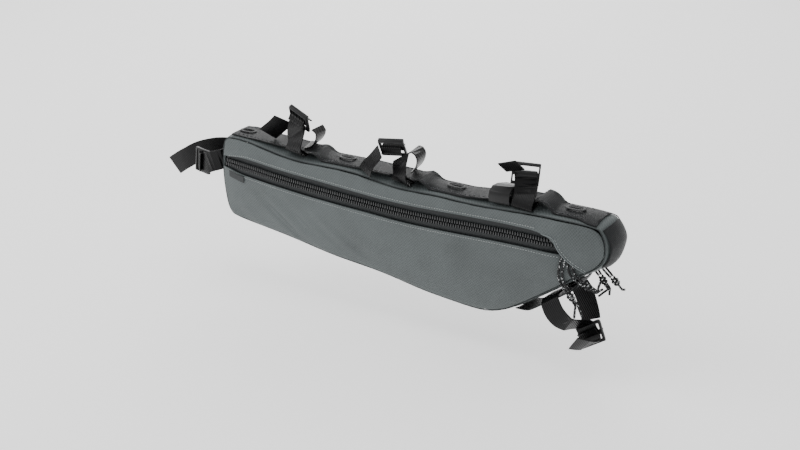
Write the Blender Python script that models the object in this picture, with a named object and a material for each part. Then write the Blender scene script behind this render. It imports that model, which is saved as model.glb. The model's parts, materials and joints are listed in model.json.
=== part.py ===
# Bicycle frame bag: a slim zipped bag that hangs under the top tube of a bicycle frame.
# Units are metres. X runs from the rear of the bag to its nose, Y across the bike, Z up.
# The origin is the middle of the bag's top, where the top tube sits on it.

import math

import bmesh
import bpy
from mathutils import Matrix, Vector

# Driving sizes of the bag
BAG_LENGTH = 0.504
BAG_DEPTH = 0.1340
SEAM_SPREAD = 0.044
PANEL_SWELL = 0.0075
CLOTH = 0.0016
PIPING_R = 0.0009
TOP_CROWN = 0.0042
BOTTOM_CROWN = 0.0050
END_CROWN = 0.0034

# Clearances
GAP = 0.0003
SEAT_GAP = 0.0005

# Zips, one on each face
ZIP_OPENING = 0.0215
TAPE_THICK = 0.0010
TAPE_HIDDEN = 0.0030
CHAIN_WIDTH = 0.0094
CHAIN_THICK = 0.0024
SLIDER_LENGTH = 0.0100
SLIDER_WIDTH = 0.0100
SLIDER_THICK = 0.0036
SLIDER_STEP = 0.0115
GARAGE_DEPTH = 0.0046
FLAP_LIFT = 0.0030

# Reinforcing strips with the free spans that the straps pass under
STRIP_WIDTH = 0.033
STRIP_THICK = 0.0013
SLOT_PITCH = 0.1447
SLOT_COUNT = 4
SLOT_LENGTH = 0.015
SLOT_WIDTH = 0.0050
RING_BAND = 0.0050
RING_HEIGHT = 0.0011
HUMP_HEIGHT = 0.0056
SPAN_HEIGHT = 0.0034
NOSE_PATCH_WIDTH = 0.038
REAR_PATCH_WIDTH = 0.026
TAG_LENGTH = 0.024
TAG_HEIGHT = 0.0080
TAG_THICK = 0.0006

# Webbing straps and their ladder-lock buckles
STRAP_WIDTH = 0.025
STRAP_THICK = 0.0014
LOOP_HEIGHT = 0.040
REAR_LOOP = 0.056
LOWER_LOOP = 0.056
LOCK_WIDTH = 0.0300
LOCK_LENGTH = 0.0240
LOCK_THICK = 0.0042
LOCK_RAIL = 0.0018
LOCK_BAR = 0.0034

# Pull cords
CORD_R = 0.00125
KNOT_R = 0.0048
KNOT_LONG = 0.0060
KNOT_TRIM = 0.36

# Colours, roughness and metallic share of each finish
FINISHES = {
    "grey_cloth": ((0.118, 0.138, 0.140), 0.70, 0.0),
    "dark_tape": ((0.020, 0.023, 0.024), 0.60, 0.0),
    "tooth_plastic": ((0.012, 0.013, 0.014), 0.32, 0.0),
    "black_strip": ((0.017, 0.018, 0.019), 0.55, 0.0),
    "webbing": ((0.008, 0.008, 0.009), 0.38, 0.0),
    "buckle_plastic": ((0.010, 0.010, 0.011), 0.30, 0.0),
    "cord_weave": ((0.016, 0.016, 0.017), 0.70, 0.0),
    "ring_rubber": ((0.030, 0.031, 0.032), 0.45, 0.0),
    "slider_metal": ((0.030, 0.030, 0.032), 0.35, 0.6),
}

HALF_SPREAD = SEAM_SPREAD / 2
PANEL_FACE = HALF_SPREAD + 0.4 * CLOTH
BAND_EDGE = PANEL_FACE - CLOTH - GAP - 0.0002
SEAM_GAP = PIPING_R + GAP

# The seam seen from the side, as shares of the bag's length and depth, clockwise from the
# rear end of the top. Each table is one run of the seam between two corners.
TOP_RUN = ((-0.479, 0.002), (-0.450, 0.007), (-0.400, -0.011), (-0.325, -0.056), (-0.262, -0.068),
           (-0.180, -0.052), (-0.115, -0.048), (-0.060, -0.074), (-0.008, -0.091), (0.055, -0.080),
           (0.110, -0.070), (0.172, -0.073), (0.250, -0.056), (0.320, -0.032), (0.405, -0.021),
           (0.472, -0.018))
NOSE_RUN = ((0.488, -0.060), (0.497, -0.124), (0.500, -0.209), (0.496, -0.291), (0.485, -0.348),
            (0.465, -0.405))
SLANT_RUN = ((0.435, -0.480), (0.392, -0.610), (0.335, -0.770), (0.285, -0.905), (0.250, -0.965),
             (0.215, -0.994))
BOTTOM_RUN = ((0.145, -0.984), (0.065, -0.964), (0.000, -0.928), (-0.065, -0.899), (-0.180, -0.872),
              (-0.300, -0.812), (-0.400, -0.775), (-0.450, -0.757))
REAR_RUN = ((-0.475, -0.737), (-0.489, -0.666), (-0.494, -0.575), (-0.498, -0.455), (-0.500, -0.330),
            (-0.498, -0.180), (-0.494, -0.080), (-0.489, -0.022))

# Middle line of the zip, from the rear seam to the nose seam, as the same kind of shares
ZIP_LINE = ((-0.494, -0.236), (-0.400, -0.238), (-0.300, -0.262), (-0.180, -0.275), (-0.080, -0.283),
            (0.020, -0.284), (0.120, -0.268), (0.220, -0.244), (0.320, -0.224), (0.400, -0.222),
            (0.497, -0.230))
FLAP_START = 0.352
FLAP_EDGE = ((0.385, -0.170), (0.400, -0.250), (0.425, -0.335), (0.458, -0.405))

# Shallow folds pressed into the lower panels: place along the length and the depth, the way
# that the fold runs in degrees, its half length and half width in metres and its depth
FOLDS = ((-0.300, -0.640, -38.0, 0.040, 0.0070, 0.0011),
         (-0.210, -0.600, -34.0, 0.048, 0.0080, 0.0009),
         (-0.110, -0.670, -30.0, 0.044, 0.0090, 0.0008),
         (0.240, -0.700, 24.0, 0.038, 0.0090, 0.0009))

# The top strip over one pitch from a slot: share of the pitch, lift as shares of the span's and
# of the hump's height, and how much of its half width is left on the near and on the far side
STRIP_TABLE = ((0.00, 0.0, 0.0, 1.0, 1.0), (0.10, 0.0, 0.0, 1.0, 1.0), (0.18, 0.35, 0.0, 1.0, 0.90),
               (0.30, 0.6, 0.0, 1.0, 0.85), (0.42, 1.0, 0.0, 1.0, 0.90), (0.46, 1.1, 0.0, 0.90, 0.95),
               (0.49, 1.15, 0.0, 0.55, 0.98), (0.58, 1.2, 0.0, 0.58, 1.0), (0.635, 0.9, 0.0, 0.72, 1.0),
               (0.68, 0.0, 0.70, 1.0, 1.0), (0.725, 0.0, 1.0, 1.0, 1.0), (0.77, 0.0, 0.65, 1.0, 1.0),
               (0.82, 0.0, 0.0, 1.0, 1.0), (1.00, 0.0, 0.0, 1.0, 1.0))
# For each span: how far its hump is moved along, and its height beside the table's
HUMPS = ((0.0, 1.0), (0.0, 1.05), (0.05, 1.45))
STRIP_TAB = 1.25


def clear_scene():
    """Remove every object that the file opened with."""
    for item in list(bpy.data.objects):
        bpy.data.objects.remove(item, do_unlink=True)


def finish(name):
    """Return the Principled material of this name, made the first time it is asked for."""
    if name in bpy.data.materials:
        return bpy.data.materials[name]
    colour, roughness, metallic = FINISHES[name]
    material = bpy.data.materials.new(name)
    material.use_nodes = True
    shader = material.node_tree.nodes["Principled BSDF"]
    shader.inputs["Base Color"].default_value = (*colour, 1.0)
    shader.inputs["Roughness"].default_value = roughness
    shader.inputs["Metallic"].default_value = metallic
    return material


def own_material(obj, kind):
    """Give the object its own copy of a finish, named after the object."""
    material = finish(kind).copy()
    material.name = obj.name + "_" + kind
    obj.data.materials.clear()
    obj.data.materials.append(material)


def add_mesh(name, points, faces, kind, smooth=True):
    """Make one closed mesh object from points and faces, with its faces turned outwards."""
    mesh = bpy.data.meshes.new(name)
    mesh.from_pydata([tuple(p) for p in points], [], faces)
    shape = bmesh.new()
    shape.from_mesh(mesh)
    bmesh.ops.recalc_face_normals(shape, faces=shape.faces)
    if shape.calc_volume(signed=True) < 0:
        bmesh.ops.reverse_faces(shape, faces=shape.faces)
    shape.to_mesh(mesh)
    shape.free()
    mesh.validate()
    obj = bpy.data.objects.new(name, mesh)
    bpy.context.scene.collection.objects.link(obj)
    if smooth:
        mesh.shade_smooth()
        mesh.set_sharp_from_angle(angle=math.radians(35))
    own_material(obj, kind)
    return obj


def loft(name, sections, kind, closed=False, smooth=True):
    """Skin a row of sections with the same number of points; closed joins the last to the first."""
    count = len(sections[0])
    points = [p for section in sections for p in section]
    faces = []
    spans = len(sections) if closed else len(sections) - 1
    for i in range(spans):
        a = i * count
        b = ((i + 1) % len(sections)) * count
        for j in range(count):
            k = (j + 1) % count
            faces.append((a + j, a + k, b + k, b + j))
    if not closed:
        last = (len(sections) - 1) * count
        faces.append(tuple(range(count)))
        faces.append(tuple(last + j for j in reversed(range(count))))
    return add_mesh(name, points, faces, kind, smooth)


def slab_section(outer, inner):
    """One section of a thin wall: its outer points, then its inner points back again."""
    return list(outer) + list(reversed(inner))


def spline(points, t):
    """Catmull-Rom curve through points of any size, with t running from 0 to len(points) - 1."""
    last = len(points) - 1
    i = min(int(t), last - 1)
    f = t - i
    p0 = points[max(i - 1, 0)]
    p1 = points[i]
    p2 = points[i + 1]
    p3 = points[min(i + 2, last)]
    out = []
    for a, b, c, d in zip(p0, p1, p2, p3):
        out.append(0.5 * (2 * b + (c - a) * f + (2 * a - 5 * b + 4 * c - d) * f * f
                          + (3 * b - a - 3 * c + d) * f ** 3))
    return tuple(out)


def interpolate(table, x, column=1):
    """Read a column of a table at x by straight lines between its rows."""
    if x <= table[0][0]:
        return table[0][column]
    for a, b in zip(table, table[1:]):
        if x <= b[0]:
            f = (x - a[0]) / max(b[0] - a[0], 1e-9)
            return a[column] + (b[column] - a[column]) * f
    return table[-1][column]


def soft_step(x, low, high):
    """Smooth rise from 0 at low to 1 at high."""
    f = min(max((x - low) / (high - low), 0.0), 1.0)
    return f * f * (3 - 2 * f)


def scaled(table):
    """Turn a table of shares into lengths in the side view."""
    return [(x * BAG_LENGTH, z * BAG_DEPTH) for x, z in table]


# The seam loop in the side view

LOOP_STEP = 0.0165
LOOP_TURN = math.radians(17)
FINE_STEPS = 12


def seam_loop():
    """Seam points round the bag, clockwise from the rear of the top, fewer where it is straight."""
    rough = scaled(TOP_RUN + NOSE_RUN + SLANT_RUN + BOTTOM_RUN + REAR_RUN)
    ring = [rough[-1]] + rough + [rough[0], rough[1]]
    fine = []
    for i in range(1, len(rough) + 1):
        for k in range(FINE_STEPS):
            fine.append(spline(ring, i + k / FINE_STEPS))
    kept = [fine[0]]
    run = 0.0
    turn = 0.0
    for i in range(1, len(fine) - 1):
        before = Vector(fine[i]) - Vector(fine[i - 1])
        after = Vector(fine[i + 1]) - Vector(fine[i])
        run += before.length
        turn += abs(before.angle_signed(after, 0.0))
        if run >= LOOP_STEP or (turn >= LOOP_TURN and run > 0.2 * LOOP_STEP):
            kept.append(fine[i])
            run = 0.0
            turn = 0.0
    if (Vector(kept[-1]) - Vector(fine[0])).length < 0.3 * LOOP_STEP:
        kept.pop()
    return kept


LOOP = seam_loop()
LOOP_COUNT = len(LOOP)


def loop_normal(i):
    """Outward normal of the seam loop at corner i, in the side view."""
    a = Vector(LOOP[i - 1])
    b = Vector(LOOP[i])
    c = Vector(LOOP[(i + 1) % LOOP_COUNT])
    first = (b - a).normalized()
    second = (c - b).normalized()
    middle = (first + second).normalized()
    normal = Vector((-middle.y, middle.x))
    return normal / max(normal.dot(Vector((-first.y, first.x))), 0.5)


NORMALS = [loop_normal(i) for i in range(LOOP_COUNT)]


def inset_loop(distance, tuck=0.0):
    """The seam loop moved inwards by a distance, and by a tuck more under the flap at the nose."""
    out = []
    for p, n in zip(LOOP, NORMALS):
        low = soft_step(-p[1], 0.30 * BAG_DEPTH, 0.34 * BAG_DEPTH)
        more = tuck * soft_step(p[0], 0.405 * BAG_LENGTH, 0.425 * BAG_LENGTH) * low
        out.append((p[0] - n.x * (distance + more), p[1] - n.y * (distance + more)))
    return out


def crown_height(i):
    """How far the band swells outside the seam at corner i of the loop; less at the rear top."""
    n = NORMALS[i]
    up = max(n.y, 0.0) ** 2
    top = TOP_CROWN * (0.15 + 0.85 * soft_step(LOOP[i][0], -0.46 * BAG_LENGTH, -0.36 * BAG_LENGTH))
    down = max(-n.y, 0.0) ** 2
    side = max(1.0 - up - down, 0.0)
    nose = END_CROWN * (1.0 + 0.9 * soft_step(LOOP[i][0], 0.0, 0.45 * BAG_LENGTH))
    return up * top + down * BOTTOM_CROWN + side * nose


def band_share(y):
    """Share of the crown at a place across the band."""
    return 1.0 - (y / BAND_EDGE) ** 2


def band_point(i, y, lift=0.0):
    """Point at corner i of the loop on the band's outer face, lifted by a height."""
    i = i % LOOP_COUNT
    out = crown_height(i) * band_share(y) + lift
    return Vector((LOOP[i][0] + NORMALS[i].x * out, y, LOOP[i][1] + NORMALS[i].y * out))


def band_between(t, y, lift=0.0):
    """The same at a place t between two corners of the loop."""
    i = math.floor(t)
    f = t - i
    return band_point(i, y, lift).lerp(band_point(i + 1, y, lift), f)


def loop_place(x, z_above=None):
    """Loop parameter where the top of the bag passes x, or the lower side if z_above is False."""
    for i in range(LOOP_COUNT):
        a = LOOP[i]
        b = LOOP[(i + 1) % LOOP_COUNT]
        top = b[0] > a[0]
        if (z_above is False) == top:
            continue
        if min(a[0], b[0]) <= x <= max(a[0], b[0]):
            return i + (x - a[0]) / (b[0] - a[0])
    raise ValueError("x lies outside the bag")


def edge_height(points, x, top):
    """Height of a closed outline at x, on its top or on its underside."""
    best = None
    for i in range(len(points)):
        a = points[i]
        b = points[(i + 1) % len(points)]
        if (a[0] - x) * (b[0] - x) <= 0 and abs(a[0] - b[0]) > 1e-9:
            z = a[1] + (b[1] - a[1]) * (x - a[0]) / (b[0] - a[0])
            if best is None or (z > best) == top:
                best = z
    return best


ZIP_POINTS = scaled(ZIP_LINE)
X_REAR = min(p[0] for p in LOOP)
X_NOSE = max(p[0] for p in LOOP)


def zip_height(x):
    """Height of the zip's middle line at x."""
    if x <= ZIP_POINTS[0][0]:
        return ZIP_POINTS[0][1]
    for i in range(len(ZIP_POINTS) - 1):
        if x <= ZIP_POINTS[i + 1][0]:
            f = (x - ZIP_POINTS[i][0]) / (ZIP_POINTS[i + 1][0] - ZIP_POINTS[i][0])
            return spline(ZIP_POINTS, i + f)[1]
    return ZIP_POINTS[-1][1]


def fold_depth(x, z):
    """Depth of the pressed folds at a point of the side view."""
    total = 0.0
    for fx, fz, angle, half_length, half_width, depth in FOLDS:
        dx = x - fx * BAG_LENGTH
        dz = z - fz * BAG_DEPTH
        c = math.cos(math.radians(angle))
        s = math.sin(math.radians(angle))
        along = (dx * c + dz * s) / half_length
        across = (-dx * s + dz * c) / half_width
        total += depth * math.exp(-along ** 2 - across ** 2)
    return total


def face_out(x, z):
    """Distance of the panels' outer face from the middle plane at a point of the side view."""
    low = edge_height(LOOP, x, False)
    high = edge_height(LOOP, x, True)
    if low is None or high - low < 1e-6:
        return PANEL_FACE
    t = min(max((z - low) / (high - low), 0.0), 1.0)
    end = min(x - X_REAR, X_NOSE - x) / (0.16 * BAG_LENGTH)
    along = math.sin(min(max(end, 0.0), 1.0) * math.pi / 2) ** 0.8
    across = (4 * t * (1 - t)) ** 0.62
    return PANEL_FACE + PANEL_SWELL * along * across - fold_depth(x, z) * along


def under_flap(x, z):
    """How far a point of the side view lies behind the flap's edge, towards the nose."""
    edge = scaled(((FLAP_START, -0.135),) + FLAP_EDGE)
    below = -z
    if below > -edge[-1][1]:
        edge_x = edge[-1][0] + 1.8 * (below + edge[-1][1])
    else:
        edge_x = interpolate([(-ez, ex) for ex, ez in edge], below)
    return 0.7 * (x - edge_x)


def garage(x, z):
    """How far the zip and the lower panel step back under the flap at the nose."""
    return GARAGE_DEPTH * soft_step(under_flap(x, z), -0.014, 0.004)


def flap_lift(x, z):
    """How far the flap at the nose stands off its surface over the sliders."""
    share = soft_step(x, 0.33 * BAG_LENGTH, 0.41 * BAG_LENGTH) * soft_step(-x, -0.492 * BAG_LENGTH,
                                                                          -0.455 * BAG_LENGTH)
    height = math.exp(-((z - zip_height(x) + 0.006) / 0.028) ** 2)
    return FLAP_LIFT * share * height


def closer_ends(u):
    """Spacing that sets points closer together at both ends of a line."""
    return u - 0.62 * math.sin(2 * math.pi * u) / (2 * math.pi)


def resample(points, count, spacing=None):
    """Points along a line of points, evenly spaced unless another spacing is given."""
    lengths = [0.0]
    for a, b in zip(points, points[1:]):
        lengths.append(lengths[-1] + (Vector(b) - Vector(a)).length)
    out = []
    for i in range(count):
        share = i / (count - 1)
        goal = lengths[-1] * (spacing(share) if spacing else share)
        k = max(j for j in range(len(lengths)) if lengths[j] <= goal + 1e-12)
        k = min(k, len(points) - 2)
        f = (goal - lengths[k]) / max(lengths[k + 1] - lengths[k], 1e-12)
        out.append(tuple(Vector(points[k]).lerp(Vector(points[k + 1]), f)))
    return out


def outline_between(points, start, stop):
    """Part of a closed outline between two loop places, with its ends cut where asked."""
    out = []
    count = len(points)
    if stop < start:
        stop += count
    first = Vector(points[math.floor(start) % count]).lerp(
        Vector(points[(math.floor(start) + 1) % count]), start % 1)
    out.append(tuple(first))
    k = math.floor(start) + 1
    while k < stop:
        out.append(points[k % count])
        k += 1
    last = Vector(points[math.floor(stop) % count]).lerp(
        Vector(points[(math.floor(stop) + 1) % count]), stop % 1)
    out.append(tuple(last))
    return out


def side_place(z, nose):
    """Loop parameter where the nose end, or the rear end, of the seam passes the height z."""
    for i in range(LOOP_COUNT):
        a = LOOP[i]
        b = LOOP[(i + 1) % LOOP_COUNT]
        falls = b[1] < a[1]
        at_nose = a[0] > 0.42 * BAG_LENGTH
        at_rear = a[0] < -0.42 * BAG_LENGTH
        if nose and at_nose and falls and b[1] <= z <= a[1]:
            return i + (a[1] - z) / (a[1] - b[1])
        if not nose and at_rear and not falls and a[1] <= z <= b[1]:
            return i + (z - a[1]) / (b[1] - a[1])
    raise ValueError("z lies outside the bag's end")


def coons(bottom, top, left, right, columns, rows):
    """Grid of side-view points filled in between four edges."""
    low = resample(bottom, columns, closer_ends)
    high = resample(top, columns, closer_ends)
    west = resample(left, rows)
    east = resample(right, rows)
    grid = []
    for i in range(columns):
        u = closer_ends(i / (columns - 1))
        line = []
        for j in range(rows):
            v = j / (rows - 1)
            p = [0.0, 0.0]
            for k in range(2):
                ruled = (1 - v) * low[i][k] + v * high[i][k] + (1 - u) * west[j][k] + u * east[j][k]
                corners = ((1 - u) * (1 - v) * low[0][k] + u * (1 - v) * low[-1][k]
                           + (1 - u) * v * high[0][k] + u * v * high[-1][k])
                p[k] = ruled - corners
            line.append(tuple(p))
        grid.append(line)
    return grid


# The body of the bag

PANEL_COLUMNS = 34
LOWER_ROWS = 6
UPPER_ROWS = 3


def build_band():
    """The band that joins the two faces: top, nose, slanted edge, bottom and rear in one ring."""
    stations = (-1.0, -0.52, 0.0, 0.52, 1.0)
    sections = []
    for i in range(LOOP_COUNT):
        outer = [band_point(i, s * BAND_EDGE) for s in stations]
        inner = [band_point(i, s * BAND_EDGE, -CLOTH) for s in stations]
        sections.append(slab_section(outer, inner))
    loft("gusset_band", sections, "grey_cloth", closed=True)


def build_piping(side, label):
    """The piped seam between the band and one face."""
    sections = []
    for i in range(LOOP_COUNT):
        ring = []
        for k in range(4):
            a = math.pi * (k + 0.5) / 2
            out = PIPING_R * math.cos(a)
            across = side * (HALF_SPREAD + PIPING_R * math.sin(a))
            ring.append((LOOP[i][0] + NORMALS[i].x * out, across, LOOP[i][1] + NORMALS[i].y * out))
        sections.append(ring)
    loft(label + "_piping", sections, "dark_tape", closed=True)


def wall(grid, side, depth, thickness, extra=None):
    """Sections of a cloth wall over a side-view grid, its outer face a depth behind the surface."""
    sections = []
    for line in grid:
        outer = []
        inner = []
        for x, z in line:
            y = face_out(x, z) - depth(x, z)
            if extra:
                y += extra(x, z)
            outer.append((x, side * y, z))
            inner.append((x, side * (y - thickness), z))
        sections.append(slab_section(outer, inner))
    return sections


def opening_edge(x, side_of_zip):
    """Height of the zip opening's edge at x; it narrows a little at the rear."""
    rear = 1.0 - 0.35 * (1.0 - soft_step(x, X_REAR, X_REAR + 0.07 * BAG_LENGTH))
    return zip_height(x) + side_of_zip * 0.5 * ZIP_OPENING * rear


def build_lower_panel(side, label):
    """The large lower face, from the zip down to the bottom seam."""
    inner = inset_loop(SEAM_GAP, CLOTH - SEAM_GAP + 2 * GAP)
    z_rear = opening_edge(X_REAR, -1)
    z_nose = opening_edge(X_NOSE, -1)
    rear_at = side_place(z_rear, False)
    nose_at = side_place(z_nose, True)
    rear_corner = side_place(-0.69 * BAG_DEPTH, False)
    nose_corner = side_place(-0.37 * BAG_DEPTH, True)
    left = list(reversed(outline_between(inner, rear_corner, rear_at)))
    right = outline_between(inner, nose_at, nose_corner)
    bottom = list(reversed(outline_between(inner, nose_corner, rear_corner)))
    x0 = left[0][0]
    x1 = right[0][0]
    top = [(x0 + (x1 - x0) * k / 60, opening_edge(x0 + (x1 - x0) * k / 60, -1)) for k in range(61)]
    top[0] = left[0]
    top[-1] = right[0]
    grid = coons(bottom, top, list(reversed(left)), list(reversed(right)), PANEL_COLUMNS, LOWER_ROWS)
    sections = wall(grid, side, garage, CLOTH)
    loft(label + "_lower_panel", sections, "grey_cloth")


def flap_line():
    """Lower edge of the upper panel: along the zip, then down the flap to the slanted seam."""
    x0 = X_REAR
    x1 = FLAP_START * BAG_LENGTH
    line = [(x0 + (x1 - x0) * k / 40, opening_edge(x0 + (x1 - x0) * k / 40, 1)) for k in range(41)]
    return line + scaled(FLAP_EDGE)


def build_upper_panel(side, label):
    """The narrow upper face, which ends in the flap that covers the sliders at the nose."""
    inner = inset_loop(SEAM_GAP + GAP)
    line = flap_line()
    rear_at = side_place(line[0][1], False)
    end = line[-1]
    nose_at = min((k / 8 for k in range(8 * LOOP_COUNT)),
                  key=lambda t: (Vector(inner[int(t)]).lerp(Vector(inner[(int(t) + 1) % LOOP_COUNT]), t % 1)
                                 - Vector(end)).length)
    rear_top = side_place(-0.09 * BAG_DEPTH, False)
    nose_top = side_place(-0.27 * BAG_DEPTH, True)
    left = outline_between(inner, rear_at, rear_top)
    right = list(reversed(outline_between(inner, nose_top, nose_at)))
    top = outline_between(inner, rear_top, nose_top)
    line[0] = left[0]
    line[-1] = right[0]
    grid = coons(line, top, left, right, PANEL_COLUMNS, UPPER_ROWS)
    sections = wall(grid, side, lambda x, z: 0.0, CLOTH, flap_lift)
    loft(label + "_upper_panel", sections, "grey_cloth")


ZIP_START = X_REAR + 0.006
TAPE_STOP = 0.478 * BAG_LENGTH
CHAIN_STOP = 0.402 * BAG_LENGTH
TAPE_DEPTH = CLOTH + 0.0011
ZIP_SPANS = 17
ZIP_END_SPANS = 5


def zip_places(x_stop):
    """Places along the zip at which its strips are shaped, closer together under the flap."""
    bend = 0.33 * BAG_LENGTH
    places = [ZIP_START + (bend - ZIP_START) * k / ZIP_SPANS for k in range(ZIP_SPANS + 1)]
    places += [bend + (CHAIN_STOP - bend) * k / ZIP_END_SPANS for k in range(1, ZIP_END_SPANS + 1)]
    if x_stop > CHAIN_STOP:
        places += [CHAIN_STOP + (x_stop - CHAIN_STOP) * k / 4 for k in range(1, 5)]
    return places


def zip_strip(side, x_stop, reach, depth, thickness):
    """Sections of a strip along the zip that reaches the same way up and down from its middle."""
    sections = []
    for x in zip_places(x_stop):
        z = zip_height(x)
        outer = []
        inner = []
        for place in (-reach, 0.0, reach):
            base = min(face_out(x, z), face_out(x, z + place)) - depth - garage(x, z)
            outer.append((x, side * base, z + place))
            inner.append((x, side * (base - thickness), z + place))
        sections.append(slab_section(outer, inner))
    return sections


def build_zip(side, label):
    """The tape behind the zip opening and the closed chain of teeth in front of it."""
    tape = zip_strip(side, TAPE_STOP, ZIP_OPENING / 2 + TAPE_HIDDEN, TAPE_DEPTH, TAPE_THICK)
    chain = []
    for x in zip_places(CHAIN_STOP):
        z = zip_height(x)
        base = face_out(x, z) - TAPE_DEPTH - garage(x, z) + GAP
        corners = ((base, -0.5), (base, 0.5), (base + CHAIN_THICK, 0.36), (base + CHAIN_THICK, -0.36))
        chain.append([(x, side * y, z + share * CHAIN_WIDTH) for y, share in corners])
    loft(label + "_zip_tape", tape, "dark_tape")
    loft(label + "_zip_chain", chain, "tooth_plastic")


def slider_place(index):
    """Side-view place of a slider on the zip's middle line."""
    x = CHAIN_STOP + GAP + SLIDER_LENGTH / 2 + index * SLIDER_STEP
    return x, zip_height(x)


def slider_face(x, z):
    """Distance from the middle plane to the back of a slider at a place on the zip."""
    return face_out(x, z) - TAPE_DEPTH - garage(x, z) + GAP


def build_slider(side, label, index):
    """A slider: a body with a wide front, and the bail that its cord passes through."""
    x, z = slider_place(index)
    back = max(slider_face(x - SLIDER_LENGTH / 2, z), slider_face(x + SLIDER_LENGTH / 2, z)) + GAP
    shares = ((-0.50, 0.80), (-0.30, 1.00), (0.30, 1.00), (0.50, 0.62))
    sections = []
    for along, wide in shares:
        px = x + along * SLIDER_LENGTH
        half = wide * SLIDER_WIDTH / 2
        low = side * back
        high = side * (back + SLIDER_THICK)
        sections.append([(px, low, z - half), (px, low, z + half),
                         (px, high, z + 0.7 * half), (px, high, z - 0.7 * half)])
    loft("%s_slider_%d" % (label, index + 1), sections, "slider_metal")


# Strips, rings and patches sewn to the band

def strip_share(x):
    """Share of the pitch at x, with the later humps moved along; 0 outside the slots."""
    place = (x - slot_x(0)) / SLOT_PITCH
    if place < 0.0 or place > SLOT_COUNT - 1:
        return 0.0
    return unshifted(place % 1.0, HUMPS[span_at(x)][0])


def span_at(x):
    """Number of the span that x lies in."""
    return min(max(int((x - slot_x(0)) / SLOT_PITCH), 0), SLOT_COUNT - 2)


def unshifted(share, shift):
    """Undo a hump's shift, which grows to its full size past the strap and ends at the next slot."""
    if share < 0.5:
        return share
    if share < 0.58 + shift:
        return 0.5 + (share - 0.5) * 0.08 / (0.08 + shift)
    if share < 0.83 + shift:
        return share - shift
    return 0.83 + (share - 0.83 - shift) * 0.17 / (0.17 - shift)


def strip_lift(x):
    """Lift of the top strip over its seat at x."""
    share = strip_share(x)
    span = interpolate(STRIP_TABLE, share, 1) * SPAN_HEIGHT
    tall = HUMPS[span_at(x)][1]
    if tall > 1.2 and 0.58 < share < 0.70:
        span = max(span, SPAN_HEIGHT)
    return span + interpolate(STRIP_TABLE, share, 2) * HUMP_HEIGHT * tall


def slot_x(k):
    """Place of slot k along the bag; the four are centred a little behind the middle."""
    return -0.0218 * BAG_LENGTH + (k - (SLOT_COUNT - 1) / 2) * SLOT_PITCH


STRIP_ENDS = (-0.478 * BAG_LENGTH, 0.474 * BAG_LENGTH)
STRIP_STATIONS = (-1.0, -0.64, 0.0, 0.64, 1.0)


def strip_point(x, station, rise):
    """Point of the top strip: sewn parts follow the band, lifted parts are flat and gathered in."""
    lift = strip_lift(x)
    column = 3 if station < 0 else 4
    y = station * STRIP_WIDTH / 2 * interpolate(STRIP_TABLE, strip_share(x), column)
    if station < 0:
        y *= 1.0 + (STRIP_TAB - 1.0) * soft_step(x, STRIP_ENDS[1] - 0.022, STRIP_ENDS[1] - 0.012)
    free = min(lift / SPAN_HEIGHT, 1.0)
    t = loop_place(x)
    seat = band_between(t, y)
    middle = band_between(t, 0.0)
    z = seat.z + (middle.z - seat.z) * free
    return Vector((x, y, z + SEAT_GAP + lift + rise))


def strip_places():
    """Places along the bag at which the top strip is shaped."""
    places = [STRIP_ENDS[0]]
    for k in range(SLOT_COUNT):
        if k == SLOT_COUNT - 1:
            places += [slot_x(k), slot_x(k) + 0.08 * SLOT_PITCH, STRIP_ENDS[1] - 0.012]
            continue
        shift = HUMPS[k][0]
        for share, *_ in STRIP_TABLE[:-1]:
            moved = share + shift if share >= 0.58 else share
            places.append(slot_x(k) + moved * SLOT_PITCH)
    return places + [STRIP_ENDS[1]]


def build_top_strip():
    """The long reinforcing strip on top, lifted in the spans where straps pass under it."""
    sections = []
    for x in strip_places():
        lower = [strip_point(x, s, 0.0) for s in STRIP_STATIONS]
        upper = [strip_point(x, s, STRIP_THICK) for s in STRIP_STATIONS]
        sections.append(slab_section(upper, lower))
    strip = loft("top_strip", sections, "black_strip")
    for k in range(SLOT_COUNT):
        cut(strip, slot_cutter(k), "slot_%d" % (k + 1))


def oval(length, width, count):
    """Points of an oval with round ends, longest along X, counter-clockwise from above."""
    radius = width / 2
    straight = (length - width) / 2
    out = []
    for k in range(count):
        a = 2 * math.pi * (k + 0.5) / count
        x = radius * math.cos(a)
        out.append((x + math.copysign(straight, x), radius * math.sin(a)))
    return out


def slot_cutter(k):
    """Upright oval prism through the strip at slot k."""
    x = slot_x(k)
    z = strip_point(x, 0.0, 0.0).z
    reach = 4 * STRIP_THICK
    sections = []
    for height in (-reach, reach):
        sections.append([(x + px, py, z + height) for px, py in oval(SLOT_LENGTH, SLOT_WIDTH, 12)])
    cutter = loft("slot_cutter_%d" % (k + 1), sections, "black_strip", smooth=False)
    cutter.hide_render = True
    cutter.display_type = "WIRE"
    return cutter


def cut(obj, cutter, name):
    """Cut the cutter's shape out of the object."""
    boolean = obj.modifiers.new(name, "BOOLEAN")
    boolean.operation = "DIFFERENCE"
    boolean.solver = "EXACT"
    boolean.object = cutter


def build_slot_ring(k):
    """The soft oval ring round slot k."""
    x = slot_x(k)
    rims = ((0.0, 0.0), (0.15, 1.0), (0.75, 1.0), (1.0, 0.0))
    sections = []
    for i in range(12):
        ring = []
        for out, up in rims:
            grow = 2 * RING_BAND * out
            px, py = oval(SLOT_LENGTH + grow, SLOT_WIDTH + grow, 12)[i]
            seat = strip_point(x + px, 0.0, STRIP_THICK).z + GAP + 0.0002
            ring.append((x + px, py, seat + RING_HEIGHT * up))
        sections.append(ring)
    loft("slot_ring_%d" % (k + 1), sections, "ring_rubber", closed=True)


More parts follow.
